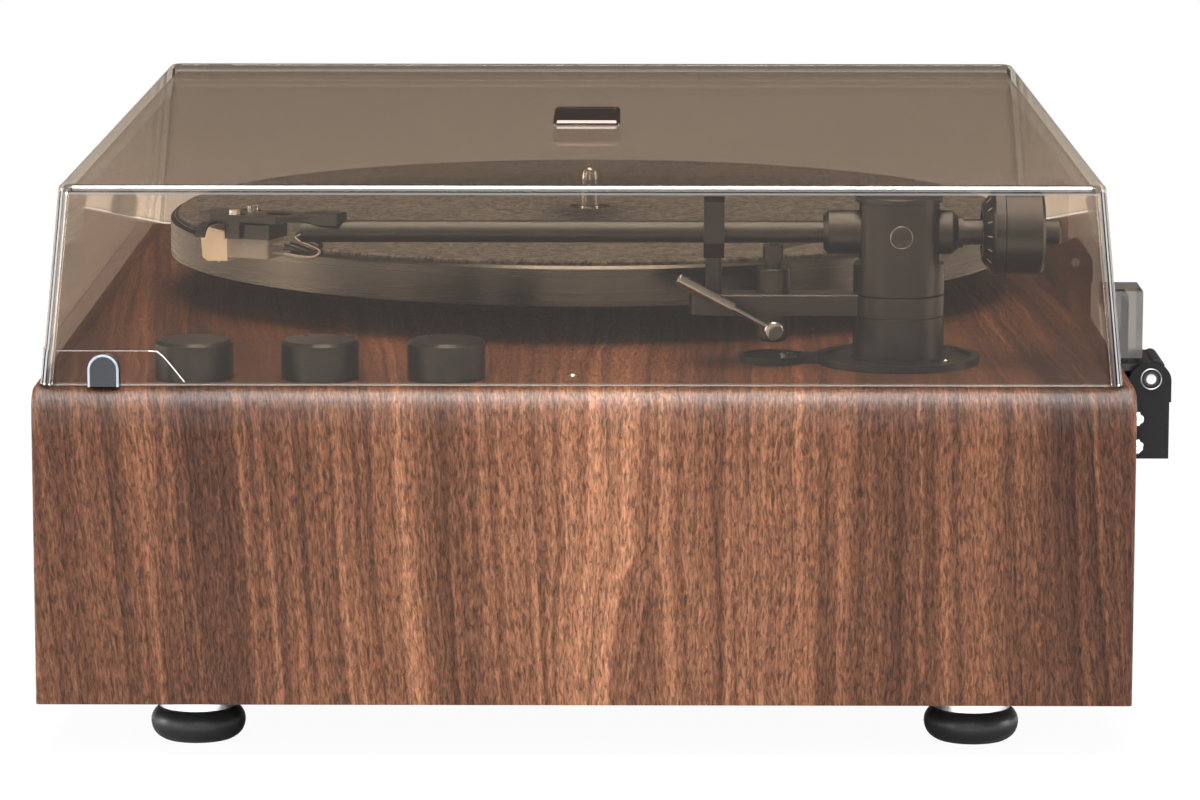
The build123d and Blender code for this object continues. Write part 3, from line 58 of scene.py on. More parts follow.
class Finish:
    """A material with short calls for its nodes."""

    def __init__(self, name):
        self.material = bpy.data.materials.new(name)
        self.material.use_nodes = True
        self.tree = self.material.node_tree
        self.tree.nodes.clear()
        self.output = self.tree.nodes.new("ShaderNodeOutputMaterial")
        self._coordinates = None

    def add(self, kind, inputs=None, **settings):
        """Add a node, set its properties, then set or link its inputs by name or number."""
        made = self.tree.nodes.new("ShaderNode" + kind)
        for key, value in settings.items():
            setattr(made, key, value)
        for key, value in (inputs or {}).items():
            self.put(value, made.inputs[key])
        return made

    def put(self, value, socket):
        """Link a node's first output or a socket, or set a plain value."""
        if isinstance(value, bpy.types.Node):
            value = value.outputs[0]
        if isinstance(value, bpy.types.NodeSocket):
            self.tree.links.new(value, socket)
        else:
            socket.default_value = value

    def place(self):
        """Object coordinates, in metres from the machine's origin."""
        if self._coordinates is None:
            self._coordinates = self.add("TexCoord").outputs["Object"]
        return self._coordinates

    def math(self, operation, first, second=0.0, third=0.0):
        """One Math node."""
        return self.add("Math", {0: first, 1: second, 2: third}, operation=operation).outputs[0]

    def distance(self, first, second):
        """How far a point is from an axis, from its two offsets at right angles."""
        squares = self.math("ADD", self.math("POWER", first, 2.0), self.math("POWER", second, 2.0))
        return self.math("SQRT", squares)

    def vector(self, x, y, z=0.0):
        """Three numbers as one vector."""
        return self.add("CombineXYZ", {0: x, 1: y, 2: z}).outputs[0]

    def stretched(self, place, factors):
        """Coordinates multiplied by one factor for each axis."""
        return self.add("VectorMath", {0: place, 1: factors}, operation="MULTIPLY").outputs[0]

    def noise(self, place, scale=1.0, detail=2.0, roughness=0.5, distortion=0.0):
        """Noise in three dimensions, from 0 to 1."""
        return self.add(
            "TexNoise",
            {
                "Vector": place,
                "Scale": scale,
                "Detail": detail,
                "Roughness": roughness,
                "Distortion": distortion,
            },
        ).outputs[0]

    def ramp(self, value, stops):
        """A colour ramp from (place, colour) stops."""
        made = self.add("ValToRGB", {0: value})
        band = made.color_ramp
        while len(band.elements) < len(stops):
            band.elements.new(0.5)
        for element, (position, colour) in zip(band.elements, stops):
            element.position = position
            element.color = (*colour, 1.0)
        return made.outputs[0]

    def grey_ramp(self, value, stops):
        """A ramp of greys from (place, level) stops."""
        return self.ramp(value, [(position, (level, level, level)) for position, level in stops])

    def between(self, value, low, high, out_low=0.0, out_high=1.0):
        """Map a range to another, clamped."""
        return self.add(
            "MapRange", {0: value, 1: low, 2: high, 3: out_low, 4: out_high}
        ).outputs[0]

    def mix(self, factor, first, second, blend="MIX"):
        """Mix two colours."""
        return self.add(
            "Mix", {0: factor, 6: first, 7: second}, data_type="RGBA", blend_type=blend
        ).outputs[2]

    def bump(self, height, depth):
        """A bump from a height, with its depth in metres."""
        return self.add("Bump", {"Height": height, "Distance": depth, "Strength": 1.0}).outputs[0]

    def surface(self, **inputs):
        """Principled surface as the output, with inputs named in words with underscores."""
        made = self.add(
            "BsdfPrincipled", {key.replace("_", " "): value for key, value in inputs.items()}
        )
        self.put(made, self.output.inputs[0])
        return made


def rgb(red, green, blue):
    """A display colour from 0 to 255 as linear light."""

    def linear(level):
        share = level / 255
        return share / 12.92 if share <= 0.04045 else ((share + 0.055) / 1.055) ** 2.4

    return (linear(red), linear(green), linear(blue))


def rgba(red, green, blue):
    """The same with an alpha of one, for colour sockets."""
    return (*rgb(red, green, blue), 1.0)


# Colours of painted and polished parts, in linear light
near_black = (0.012, 0.012, 0.012, 1.0)
rivet_grey = (0.50, 0.50, 0.50, 1.0)
grey_steel = (0.33, 0.34, 0.36)

# Walnut, in metres. Places across the sheet are along y, places along it are z - x

# The light stripe down the middle
lighter_middle_y = -0.022
lighter_middle_width = 0.115

# The pointed arch in the grain, and how far it pushes the rings aside
arch_across = 0.0165
arch_top = -0.146
arch_spread = 0.07
arch_reach = 0.04

# Widths of the growth rings, and how far the grain lines lean and wander
narrow_ring = 0.0047
wide_ring = 0.017
straight_y = 0.045
lean_start = 0.045
lean_end = 0.11
lean_most = 0.075
lean_foot = 0.16
sway_width = 0.014
wander_width = 0.0030

# Where the coat for the painted highlight starts and is full, below the deck and in from the sides
edge_start = 0.014
edge_full = 0.005
side_start = 0.008
side_full = 0.006

pore_depth = 0.00022
ring_colour = rgba(50, 31, 23)


def walnut():
    """Walnut veneer that wraps round the case: grain up the sides and across the top."""
    f = Finish("walnut")
    split = f.add("SeparateXYZ", {0: f.place()})
    across = split.outputs[1]
    along = f.math("SUBTRACT", split.outputs[2], split.outputs[0])
    sheet = f.vector(across, along)

    # Grain lines wander, and lean towards both ends of the sheet
    from_middle = f.math("ABSOLUTE", f.math("SUBTRACT", across, straight_y))
    lean = f.between(from_middle, lean_start, lean_end, 0.0, lean_most)
    sway = f.math("SUBTRACT", f.noise(f.stretched(sheet, (7.0, 3.0, 1.0)), detail=2.0), 0.5)
    wander = f.math("SUBTRACT", f.noise(f.stretched(sheet, (75.0, 30.0, 1.0)), detail=2.0), 0.5)
    grain = f.math("MULTIPLY_ADD", f.math("ADD", along, lean_foot), lean, across)
    grain = f.math("MULTIPLY_ADD", sway, sway_width, grain)
    grain = f.math("MULTIPLY_ADD", wander, wander_width, grain)

    # Below its point the arch widens, more to the left, and pushes the rings aside
    offset = f.math("SUBTRACT", grain, arch_across)
    aside = f.math("ABSOLUTE", offset)
    depth = f.math("MAXIMUM", f.math("SUBTRACT", arch_top, along), 0.0)
    spread = f.math("MULTIPLY", f.math("SQRT", depth), arch_spread)
    spread = f.math("MULTIPLY", spread, f.between(offset, -0.001, 0.001, 1.0, 0.25))
    spread = f.math("MULTIPLY", spread, f.between(aside, 0.0, arch_reach, 1.0, 0.0))
    outside = f.math("SUBTRACT", aside, spread)
    in_arch = f.between(outside, -0.0006, 0.0, 0.35, 0.0)
    rings = f.math("MULTIPLY_ADD", f.math("SIGN", offset), 0.31, outside)
    ring_sheet = f.vector(rings, along)
    fine_sheet = f.vector(grain, along)

    broad = f.noise(f.stretched(ring_sheet, (32.0, 1.2, 1.0)), detail=2.0, roughness=0.5)
    lines = f.noise(f.stretched(ring_sheet, (300.0, 4.0, 1.0)), detail=2.0, roughness=0.6)
    flecks = f.noise(
        f.stretched(fine_sheet, (1150.0, 250.0, 1.0)),
        detail=3.0,
        roughness=0.65,
        distortion=0.7,
    )
    fibres = f.noise(f.stretched(fine_sheet, (1900.0, 90.0, 1.0)), detail=2.0, roughness=0.6)
    figure = f.noise(f.stretched(sheet, (12.0, 5.0, 1.0)), detail=1.0)

    # The light stripe in the middle of the sheet
    from_lighter_middle = f.math("DIVIDE", f.math("SUBTRACT", across, lighter_middle_y), lighter_middle_width)
    lighter_middle = f.math("EXPONENT", f.math("MULTIPLY", f.math("POWER", from_lighter_middle, 2.0), -1.0))
    tone = f.math("ADD", f.math("MULTIPLY", broad, 0.55), f.math("MULTIPLY", lines, 0.45))
    tone = f.math("ADD", tone, f.math("MULTIPLY_ADD", lighter_middle, 0.15, -0.085))
    base = f.ramp(
        tone,
        [
            (0.32, rgb(50, 30, 21)),
            (0.44, rgb(79, 50, 35)),
            (0.54, rgb(104, 68, 48)),
            (0.68, rgb(138, 95, 70)),
        ],
    )

    # Rings darken slowly to a sharp edge, like a saw's teeth
    count = f.math("DIVIDE", rings, narrow_ring)
    narrow = f.math("FRACT", f.math("MULTIPLY_ADD", broad, 6.0, count))
    strength = f.between(figure, 0.45, 0.6, 0.42, 0.0)
    narrow = f.math("MULTIPLY", f.math("POWER", narrow, 3.0), strength)
    count = f.math("DIVIDE", rings, wide_ring)
    wide = f.math("FRACT", f.math("MULTIPLY_ADD", broad, 2.0, count))
    wide = f.math("MULTIPLY", f.math("POWER", wide, 7.0), 0.5)
    growth = f.math("MAXIMUM", f.math("MAXIMUM", narrow, wide), in_arch)
    base = f.mix(growth, base, ring_colour)
    light = f.math(
        "MULTIPLY",
        f.between(flecks, 0.35, 0.65, 0.42, 1.56),
        f.between(fibres, 0.32, 0.68, 0.84, 1.16),
    )
    base = f.mix(1.0, base, f.add("CombineColor", {0: light, 1: light, 2: light}), "MULTIPLY")

    # Coat only on the rounded long edge, streaked by the fibres, so that the real overhead lamp's
    # reflection makes a painted highlight band there
    from_centre = f.math("ABSOLUTE", split.outputs[0])
    on_edge = f.between(split.outputs[2], deck_z - edge_start, deck_z - edge_full)
    on_side = f.between(from_centre, side_x - side_start, side_x - side_full)
    painted_highlight_coat = f.math("MULTIPLY", on_edge, on_side)
    painted_highlight_coat = f.math("MULTIPLY", painted_highlight_coat, f.between(fibres, 0.35, 0.65, 0.45, 1.0))
    grooves = f.math("MULTIPLY_ADD", growth, -0.5, f.math("ADD", flecks, fibres))
    f.surface(
        Base_Color=base,
        Roughness=f.between(fibres, 0.3, 0.7, 0.44, 0.60),
        Specular_IOR_Level=0.14,
        Coat_Weight=f.math("MULTIPLY", painted_highlight_coat, 0.8),
        Coat_Roughness=0.36,
        Normal=f.bump(grooves, pore_depth),
    )
    return f.material


def dark_board():
    """Black-stained board for the baffle, bottom and back."""
    f = Finish("dark_board")
    fleck = f.noise(f.place(), 900.0, 3.0)
    f.surface(
        Base_Color=f.ramp(fleck, [(0.3, rgb(28, 26, 25)), (0.7, rgb(44, 41, 39))]),
        Roughness=0.62,
        Normal=f.bump(fleck, 0.00008),
    )
    return f.material


# Lid: how far each wall leans in from foot to top, and the planes of its top and back

lid_lean_x = 0.0042
lid_lean_front = 0.0062
lid_lean_back = 0.0059
lid_low, lid_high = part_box("lid")
lid_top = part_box("lid_badge")[0].z
back_setback = 0.004
lid_back = case_high.y - back_setback

# Its tints, how much it mirrors head on and how much more at a slant, and the widths of its painted
# highlight lines and painted shade bands along the edges
wall_tint = (0.872, 0.812, 0.748)
haze_tint = (0.74, 0.69, 0.63)
socket_tint = (0.46, 0.43, 0.40)
mirror_straight = 0.055
mirror_slanted = 0.74
edge_width = 0.004
rim_narrowing = 1.6


def smoked_acrylic():
    """Tinted clear sheet that mirrors more at a slant, with painted highlight lines and painted
    shade bands along its edges.
    """
    f = Finish("smoked_acrylic")
    split = f.add("SeparateXYZ", {0: f.place()})
    x, y, z = split.outputs
    rise = f.math("DIVIDE", f.math("SUBTRACT", z, lid_low.z), lid_top - lid_low.z)

    # Depths below the leaning sides, the leaning front and back, and the top
    half = f.math("MULTIPLY_ADD", rise, -lid_lean_x, lid_high.x)
    from_side = f.math("SUBTRACT", half, f.math("ABSOLUTE", x))
    front = f.math("MULTIPLY_ADD", rise, lid_lean_front, lid_low.y)
    back = f.math("MULTIPLY_ADD", rise, -lid_lean_back, lid_back)
    behind = f.math("SUBTRACT", y, back)
    from_ends = f.math("MINIMUM", f.math("SUBTRACT", y, front), f.math("ABSOLUTE", behind))
    from_top = f.math("SUBTRACT", lid_top, z)
    nearer = f.math("MINIMUM", from_side, from_ends)
    further = f.math("MINIMUM", f.math("MAXIMUM", from_side, from_ends), from_top)
    edge = f.math("MAXIMUM", nearer, further)
    in_socket = f.between(behind, 0.0004, 0.0008)

    at_rim = f.math("LESS_THAN", from_top, f.math("MAXIMUM", from_side, from_ends))
    at_top = f.math("MULTIPLY", at_rim, f.math("LESS_THAN", from_side, from_ends))
    thin = f.math("MULTIPLY_ADD", f.math("SUBTRACT", at_rim, at_top), rim_narrowing, 1.0)
    depth = f.math("MULTIPLY", f.math("DIVIDE", edge, edge_width), thin)
    # Painted highlight lines where the mirror is raised, and painted shade bands that darken the
    # see-through tint, along the top's edges and the corners
    top_painted_highlights = f.grey_ramp(
        depth,
        [(0.0, 0.75), (0.20, 0.75), (0.25, 0.0), (0.56, 0.0), (0.62, 0.6), (0.74, 0.6), (0.80, 0.0)],
    )
    top_painted_shade = f.grey_ramp(depth, [(0.20, 1.0), (0.25, 0.35), (0.56, 0.35), (0.62, 1.0)])
    corner_painted_highlights = f.grey_ramp(depth, [(0.58, 0.0), (0.62, 0.55), (0.74, 0.55), (0.80, 0.0)])
    corner_painted_shade = f.grey_ramp(depth, [(0.0, 0.03), (0.54, 0.03), (0.62, 1.0)])
    lines = f.mix(at_top, corner_painted_highlights, top_painted_highlights)
    painted_edge_shade = f.mix(at_top, corner_painted_shade, top_painted_shade)
    # Painted highlight line along the lid's foot, where the mirror is raised
    highlight_rim = f.between(f.math("SUBTRACT", z, lid_low.z), 0.0004, 0.0006, 0.3, 0.0)

    slant = f.add("LayerWeight", {0: 0.5}).outputs["Facing"]
    mirror = f.math("POWER", slant, 5.0)
    mirror = f.math("MULTIPLY_ADD", mirror, mirror_slanted, mirror_straight)
    mirror = f.math("MAXIMUM", f.math("MAXIMUM", mirror, highlight_rim), lines)
    haze = f.noise(f.stretched(f.place(), (60.0, 5.0, 60.0)), detail=3.0, roughness=0.6)
    tint = f.mix(f.between(haze, 0.3, 0.7, 0.0, 0.16), (*wall_tint, 1.0), (*haze_tint, 1.0))
    # Painted shade: the edge bands darken the see-through tint
    tint = f.mix(1.0, tint, painted_edge_shade, "MULTIPLY")
    tint = f.mix(in_socket, tint, (*socket_tint, 1.0))
    clear = f.add("BsdfTransparent", {0: tint})
    gloss = f.add(
        "BsdfGlossy", {0: (1.0, 1.0, 1.0, 1.0), "Roughness": f.between(haze, 0.3, 0.7, 0.02, 0.06)}
    )
    f.put(f.add("MixShader", {0: mirror, 1: clear, 2: gloss}), f.output.inputs[0])
    return f.material


def plain_finish(name, colour, spread, roughness, grain=700.0, depth=0.00003, **extra):
    """A moulded or painted finish with a fine, uneven grain."""
    f = Finish(name)
    low = tuple(level * (1 - spread) for level in colour)
    high = tuple(level * (1 + spread) for level in colour)
    texture = f.noise(f.place(), grain, 3.0, 0.6)
    patch = f.noise(f.place(), 22.0, 2.0)
    mixed = f.math("ADD", f.math("MULTIPLY", texture, 0.6), f.math("MULTIPLY", patch, 0.4))
    f.surface(
        Base_Color=f.ramp(mixed, [(0.35, low), (0.65, high)]),
        Roughness=f.between(mixed, 0.3, 0.7, roughness - 0.02, roughness + 0.03),
        Normal=f.bump(texture, depth),
        **extra,
    )
    return f.material


# Pitches of repeating marks, and the places of painted parts, in metres

turning_pitch = 0.0004
turning_depth = 0.0000006
thread_pitch = 0.0009
mat_ring_pitch = 0.004
knuckle_inset = 0.002
knuckle_radius = 0.0026
rod_start = 0.0031
rivet_radius = 0.00162
rivet_ring_start = 0.00170


def turned_metal(name, colour, roughness, centre):
    """Metal with fine turning marks round an upright axis through centre."""
    f = Finish(name)
    local = f.add("VectorMath", {0: f.place(), 1: tuple(centre)}, operation="SUBTRACT").outputs[0]
    x, y, height = f.add("SeparateXYZ", {0: local}).outputs
    turns = f.vector(f.distance(x, y), height)
    marks = f.noise(f.stretched(turns, (1 / turning_pitch, 1 / turning_pitch, 1.0)), detail=2.0)
    shade = f.ramp(
        marks,
        [
            (0.3, tuple(level * 0.95 for level in colour)),
            (0.7, tuple(level * 1.05 for level in colour)),
        ],
    )
    f.surface(
        Base_Color=shade,
        Metallic=1.0,
        Roughness=f.between(marks, 0.3, 0.7, roughness - 0.03, roughness + 0.04),
        Normal=f.bump(marks, turning_depth),
    )
    return f.material


def woven_cloth():
    """Speaker cloth: two crossing sets of threads."""
    f = Finish("grille_cloth")
    split = f.add("SeparateXYZ", {0: f.place()})
    thread = 2 * math.pi / thread_pitch
    warp = f.math("SINE", f.math("MULTIPLY", split.outputs[0], thread))
    weft = f.math("SINE", f.math("MULTIPLY", split.outputs[2], thread))
    height = f.math("MULTIPLY", warp, weft)
    slub = f.noise(f.stretched(f.place(), (400.0, 400.0, 2500.0)), detail=2.0)
    mixed = f.math("ADD", f.math("MULTIPLY", height, 0.25), slub)
    f.surface(
        Base_Color=f.ramp(mixed, [(0.25, rgb(22, 21, 20)), (0.75, rgb(58, 55, 52))]),
        Roughness=0.85,
        Sheen_Weight=0.3,
        Normal=f.bump(height, 0.0002),
    )
    return f.material


def platter_rubber():
    """Mat rubber: fine speckle and shallow rings."""
    f = Finish("platter_mat")
    local = f.add(
        "VectorMath", {0: f.place(), 1: tuple(platter_centre)}, operation="SUBTRACT"
    ).outputs[0]
    split = f.add("SeparateXYZ", {0: local})
    radius = f.distance(split.outputs[0], split.outputs[1])
    ridges = f.math("SINE", f.math("MULTIPLY", radius, 2 * math.pi / mat_ring_pitch))
    speckle = f.noise(f.place(), 420.0, 4.0, 0.85)
    f.surface(
        Base_Color=f.ramp(speckle, [(0.38, rgb(34, 33, 32)), (0.62, rgb(112, 108, 101))]),
        Roughness=0.8,
        Specular_IOR_Level=0.2,
        Normal=f.bump(f.math("ADD", speckle, f.math("MULTIPLY", ridges, 0.35)), 0.00015),
    )
    return f.material


def lever_steel():
    """Cue lever: a grey polished rod, black round a guessed centre of its knuckle."""
    f = Finish("lever_steel")
    lever_low, lever_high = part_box("cue_lever")
    knuckle = (lever_high.y - knuckle_inset, lever_low.z + knuckle_inset)
    split = f.add("SeparateXYZ", {0: f.place()})
    aside = f.math("SUBTRACT", split.outputs[1], knuckle[0])
    above = f.math("SUBTRACT", split.outputs[2], knuckle[1])
    rod = f.between(f.distance(aside, above), knuckle_radius, rod_start)
    brushed = f.noise(f.stretched(f.place(), (300.0, 300.0, 2400.0)), detail=2.0)
    f.surface(
        Base_Color=f.mix(rod, near_black, (*grey_steel, 1.0)),
        Metallic=rod,
        Specular_IOR_Level=0.8,
        Roughness=f.between(brushed, 0.3, 0.7, 0.16, 0.26),
    )
    return f.material


def rivet_steel():
    """Hinge pin: a bright rivet in a dark ring, by distance from the pin's axis."""
    f = Finish("rivet_steel")
    pin_low, pin_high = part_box("hinge_pins")
    axis = (pin_low + pin_high) / 2
    split = f.add("SeparateXYZ", {0: f.place()})
    aside = f.math("SUBTRACT", split.outputs[1], axis.y)
    above = f.math("SUBTRACT", split.outputs[2], axis.z)
    bright = f.between(f.distance(aside, above), rivet_radius, rivet_ring_start, 1.0, 0.0)
    f.surface(
        Base_Color=f.mix(bright, near_black, rivet_grey),
        Metallic=bright,
        Roughness=0.28,
    )
    return f.material


black_satin = plain_finish(
    "black_metal", (0.010, 0.0098, 0.0095), 0.1, 0.33, 900.0, 0.00001, Specular_IOR_Level=0.55
)
black_moulded = plain_finish("black_plastic", (0.010, 0.010, 0.011), 0.2, 0.3, 1100.0, 0.000006)
black_glossy = plain_finish("gloss_black_plastic", (0.018, 0.018, 0.018), 0.2, 0.18)
black_rubber = plain_finish("rubber", (0.020, 0.019, 0.019), 0.3, 0.38, 1500.0)
bumper_grey = plain_finish("bumper_rubber", rgb(30, 33, 39), 0.1, 0.45)
bright_metal = plain_finish("bright_steel", (0.72, 0.72, 0.72), 0.08, 0.2, Metallic=1.0)
plain_steel = plain_finish("steel", (0.48, 0.48, 0.49), 0.12, 0.34, Metallic=1.0)
warm_brass = plain_finish("brass", (0.75, 0.53, 0.22), 0.1, 0.28, Metallic=1.0)
grey_plastic = plain_finish("silver_plastic", rgb(150, 146, 142), 0.08, 0.35)
ivory_plastic = plain_finish("off_white_plastic", rgb(226, 212, 192), 0.05, 0.35)
green_board = plain_finish("circuit_board", rgb(28, 84, 50), 0.2, 0.3)
black_paper = plain_finish("paper_cone", (0.02, 0.02, 0.02), 0.3, 0.8, 500.0, 0.0002)
platter_metal = turned_metal("aluminium", (0.105, 0.10, 0.092), 0.25, platter_centre)

finishes = {
    "walnut": walnut(),
    "dark_board": dark_board(),
    "black_plastic": black_moulded,
    "gloss_black_plastic": black_glossy,
    "black_metal": black_satin,
    "grille_cloth": woven_cloth(),
    "rubber": black_rubber,
    "bumper_rubber": bumper_grey,
    "steel": plain_steel,
    "bright_steel": bright_metal,
    "aluminium": platter_metal,
    "brass": warm_brass,
    "paper_cone": black_paper,
    "circuit_board": green_board,
    "off_white_plastic": ivory_plastic,
    "smoked_acrylic": smoked_acrylic(),
    "silver_plastic": grey_plastic,
}


def paint(node, finish):
    """Give a node one finish in place of what it has."""
    node.data.materials.clear()
    node.data.materials.append(finish)


for entry in frame["record"]["subparts"]:
    paint(nodes[entry["node"]], finishes[entry["material_slot"]])

# Pieces that look unlike the rest of their slot
# A grey metal for the rings that paint highlights round the pivot screws and the base plate
painted_highlight_grey = plain_finish("painted_highlight_grey", grey_steel, 0.15, 0.2, 600.0, 0.00001, Metallic=1.0)
hinge_black = plain_finish(
    "hinge_black", (0.006, 0.006, 0.007), 0.2, 0.42, Specular_IOR_Level=0.2
)
single_finishes = {
    "platter_mat": platter_rubber(),
    "cue_lever": lever_steel(),
    "hinge_pins": rivet_steel(),
    "hinge_brackets": hinge_black,
    "foot_rings": bright_metal,
    "pivot_screws": plain_finish(
        "screw_black", (0.014, 0.014, 0.014), 0.2, 0.25, Specular_IOR_Level=0.6
    ),
    "lid_badge": plain_finish("badge_metal", (0.095, 0.075, 0.068), 0.1, 0.24, Metallic=1.0),
}
for name, finish in single_finishes.items():
    paint(nodes[name], finish)

sharp_turn = 0.6


def smooth_by_angle(node):
    """Shade a node smooth, with sharp edges where its faces turn by more than sharp_turn."""
    mesh = node.data
    for polygon in mesh.polygons:
        polygon.use_smooth = True
    mesh.set_sharp_from_angle(angle=sharp_turn)


for node in nodes.values():
    if not node.data.has_custom_normals:
        smooth_by_angle(node)


# Small pieces that the CAD leaves out, and lines that paint highlights along edges, in metres

# The headshell's offset, the cartridge's pins behind the tube's mouth, and its wires
shell_angle = math.radians(24)
pin_setback = 0.0141
pin_reach = 0.0049
pin_aside = 0.0022
pin_heights = (0.0047, 0.0017)
wire_radius = 0.00038
wire_colours = {
    "wire_red": rgb(58, 30, 28),
    "wire_green": rgb(34, 44, 36),
    "wire_blue": rgb(34, 36, 46),
    "wire_white": rgb(196, 190, 180),
}

# Strokes on the tracking dial's cone, with the cone's depth behind the dial's face
stroke_count = 16
stroke_ring = 0.0119
stroke_size = (0.0021, 0.00036, 0.00012)
cone_slope = 0.8
stroke_depth = 0.00198

# Painted highlight lines along edges: how far they stand out, and the sizes of the parts they follow
proud = 0.0001
skirt_height = 0.011
skirt_start = 0.0060
skirt_end = 0.0350
bumper_inset = 0.00045
arc_steps = 16
screw_rim_radius = 0.0036
hinge_ring_radius = 0.0033
plate_inset = 0.0003
circle_steps = 48


def node_tree(name, sizes):
    """A geometry tree with one input for each named size, and a finish at its end."""
    tree = bpy.data.node_groups.new(name, "GeometryNodeTree")
    tree.interface.new_socket("Geometry", in_out="INPUT", socket_type="NodeSocketGeometry")
    for size, kind in sizes.items():
        tree.interface.new_socket(size, in_out="INPUT", socket_type="NodeSocket" + kind)
    tree.interface.new_socket("Finish", in_out="INPUT", socket_type="NodeSocketMaterial")
    tree.interface.new_socket("Geometry", in_out="OUTPUT", socket_type="NodeSocketGeometry")
    start = tree.nodes.new("NodeGroupInput")
    whole = tree.nodes.new("GeometryNodeRealizeInstances")
    coat = tree.nodes.new("GeometryNodeSetMaterial")
    end = tree.nodes.new("NodeGroupOutput")
    tree.links.new(whole.outputs[0], coat.inputs["Geometry"])
    tree.links.new(start.outputs["Finish"], coat.inputs["Material"])
    tree.links.new(coat.outputs[0], end.inputs[0])
    return tree, start, whole.inputs[0]


def wire_tree():
    """A round wire with capped ends along every spline of a curve."""
    tree, start, result = node_tree("round_wire", {"Wire radius": "Float", "Sides": "Int"})
    profile = tree.nodes.new("GeometryNodeCurvePrimitiveCircle")
    tube = tree.nodes.new("GeometryNodeCurveToMesh")
    tube.inputs["Fill Caps"].default_value = True
    tree.links.new(start.outputs["Sides"], profile.inputs["Resolution"])
    tree.links.new(start.outputs["Wire radius"], profile.inputs["Radius"])
    tree.links.new(start.outputs["Geometry"], tube.inputs["Curve"])
    tree.links.new(profile.outputs[0], tube.inputs["Profile Curve"])
    tree.links.new(tube.outputs[0], result)
    return tree


def marks_tree():
    """Strokes at equal turns on a cone about Z that widens upwards."""
    tree, start, result = node_tree(
        "cone_marks",
        {"Marks": "Int", "Ring radius": "Float", "Stroke size": "Vector", "Cone slope": "Float"},
    )
    ring = tree.nodes.new("GeometryNodeMeshCircle")
    stroke = tree.nodes.new("GeometryNodeMeshCube")
    spots = tree.nodes.new("GeometryNodeInstanceOnPoints")
    place = tree.nodes.new("GeometryNodeInputPosition")
    outward = tree.nodes.new("ShaderNodeVectorMath")
    outward.operation = "NORMALIZE"
    upward = tree.nodes.new("ShaderNodeCombineXYZ")
    slope = tree.nodes.new("ShaderNodeVectorMath")
    slope.operation = "ADD"
    aside = tree.nodes.new("ShaderNodeVectorMath")
    aside.operation = "CROSS_PRODUCT"
    aside.inputs[0].default_value = (0, 0, 1)
    lengthwise = tree.nodes.new("FunctionNodeAlignRotationToVector")
    lengthwise.axis = "X"
    sideways = tree.nodes.new("FunctionNodeAlignRotationToVector")
    sideways.axis = "Y"
    sideways.pivot_axis = "X"
    tree.links.new(start.outputs["Marks"], ring.inputs["Vertices"])
    tree.links.new(start.outputs["Ring radius"], ring.inputs["Radius"])
    tree.links.new(start.outputs["Stroke size"], stroke.inputs["Size"])
    tree.links.new(start.outputs["Cone slope"], upward.inputs["Z"])
    tree.links.new(place.outputs[0], outward.inputs[0])
    tree.links.new(outward.outputs[0], slope.inputs[0])
    tree.links.new(upward.outputs[0], slope.inputs[1])
    tree.links.new(outward.outputs[0], aside.inputs[1])
    tree.links.new(slope.outputs[0], lengthwise.inputs["Vector"])
    tree.links.new(lengthwise.outputs[0], sideways.inputs["Rotation"])
    tree.links.new(aside.outputs[0], sideways.inputs["Vector"])
    tree.links.new(ring.outputs[0], spots.inputs["Points"])
    tree.links.new(stroke.outputs[0], spots.inputs["Instance"])
    tree.links.new(sideways.outputs[0], spots.inputs["Rotation"])
    tree.links.new(spots.outputs[0], result)
    return tree


def grown(name, source, tree, sizes, finish):
    """The mesh that a geometry tree makes from a curve or mesh."""
    seed = bpy.data.objects.new(name + "_seed", source)
    bpy.context.scene.collection.objects.link(seed)
    modifier = seed.modifiers.new("shape", "NODES")
    modifier.node_group = tree
    for item in tree.interface.items_tree:
        if item.in_out == "INPUT" and item.name in sizes:
            modifier[item.identifier] = sizes[item.name]
        if item.in_out == "INPUT" and item.name == "Finish":
            modifier[item.identifier] = finish
    bpy.context.view_layer.update()
    evaluated = seed.evaluated_get(bpy.context.evaluated_depsgraph_get())
    mesh = bpy.data.meshes.new_from_object(evaluated)
    seed.modifiers.remove(modifier)
    bpy.data.objects.remove(seed)
    mesh.name = name
    return mesh


def settle(name, mesh, body):
    """Make a finished mesh a piece that rides a body."""
    made = bpy.data.objects.new(name, mesh)
    bpy.context.scene.collection.objects.link(made)
    smooth_by_angle(made)
    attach(made, body)


def path_curve(name, paths, kind="POLY", closed=False):
    """A curve with one spline for each list of points."""
    curve = bpy.data.curves.new(name + "_path", "CURVE")
    curve.dimensions = "3D"
    for points in paths:
        spline = curve.splines.new(kind)
        spline.points.add(len(points) - 1)
        for spot, point in zip(spline.points, points):
            spot.co = (*point, 1.0)
        spline.use_cyclic_u = closed
        if kind == "NURBS":
            spline.order_u = 4
            spline.use_endpoint_u = True
            spline.resolution_u = 8
    return curve


round_wire = wire_tree()


def wire(name, paths, radius, finish, body, kind="POLY", closed=False, sides=8):
    """Round wires along paths, as one piece."""
    curve = path_curve(name, paths, kind, closed)
    sizes = {"Wire radius": radius, "Sides": sides}
    settle(name, grown(name, curve, round_wire, sizes, finish), body)


def circle_points(centre, radius, upright=False):
    """Points on a circle about an axis along X, or along Z if it is upright."""
    made = []
    for step in range(circle_steps):
        turn = 2 * math.pi * step / circle_steps
        out, up = radius * math.cos(turn), radius * math.sin(turn)
        made.append(Vector(centre) + Vector((up, out, 0) if upright else (0, out, up)))
    return made


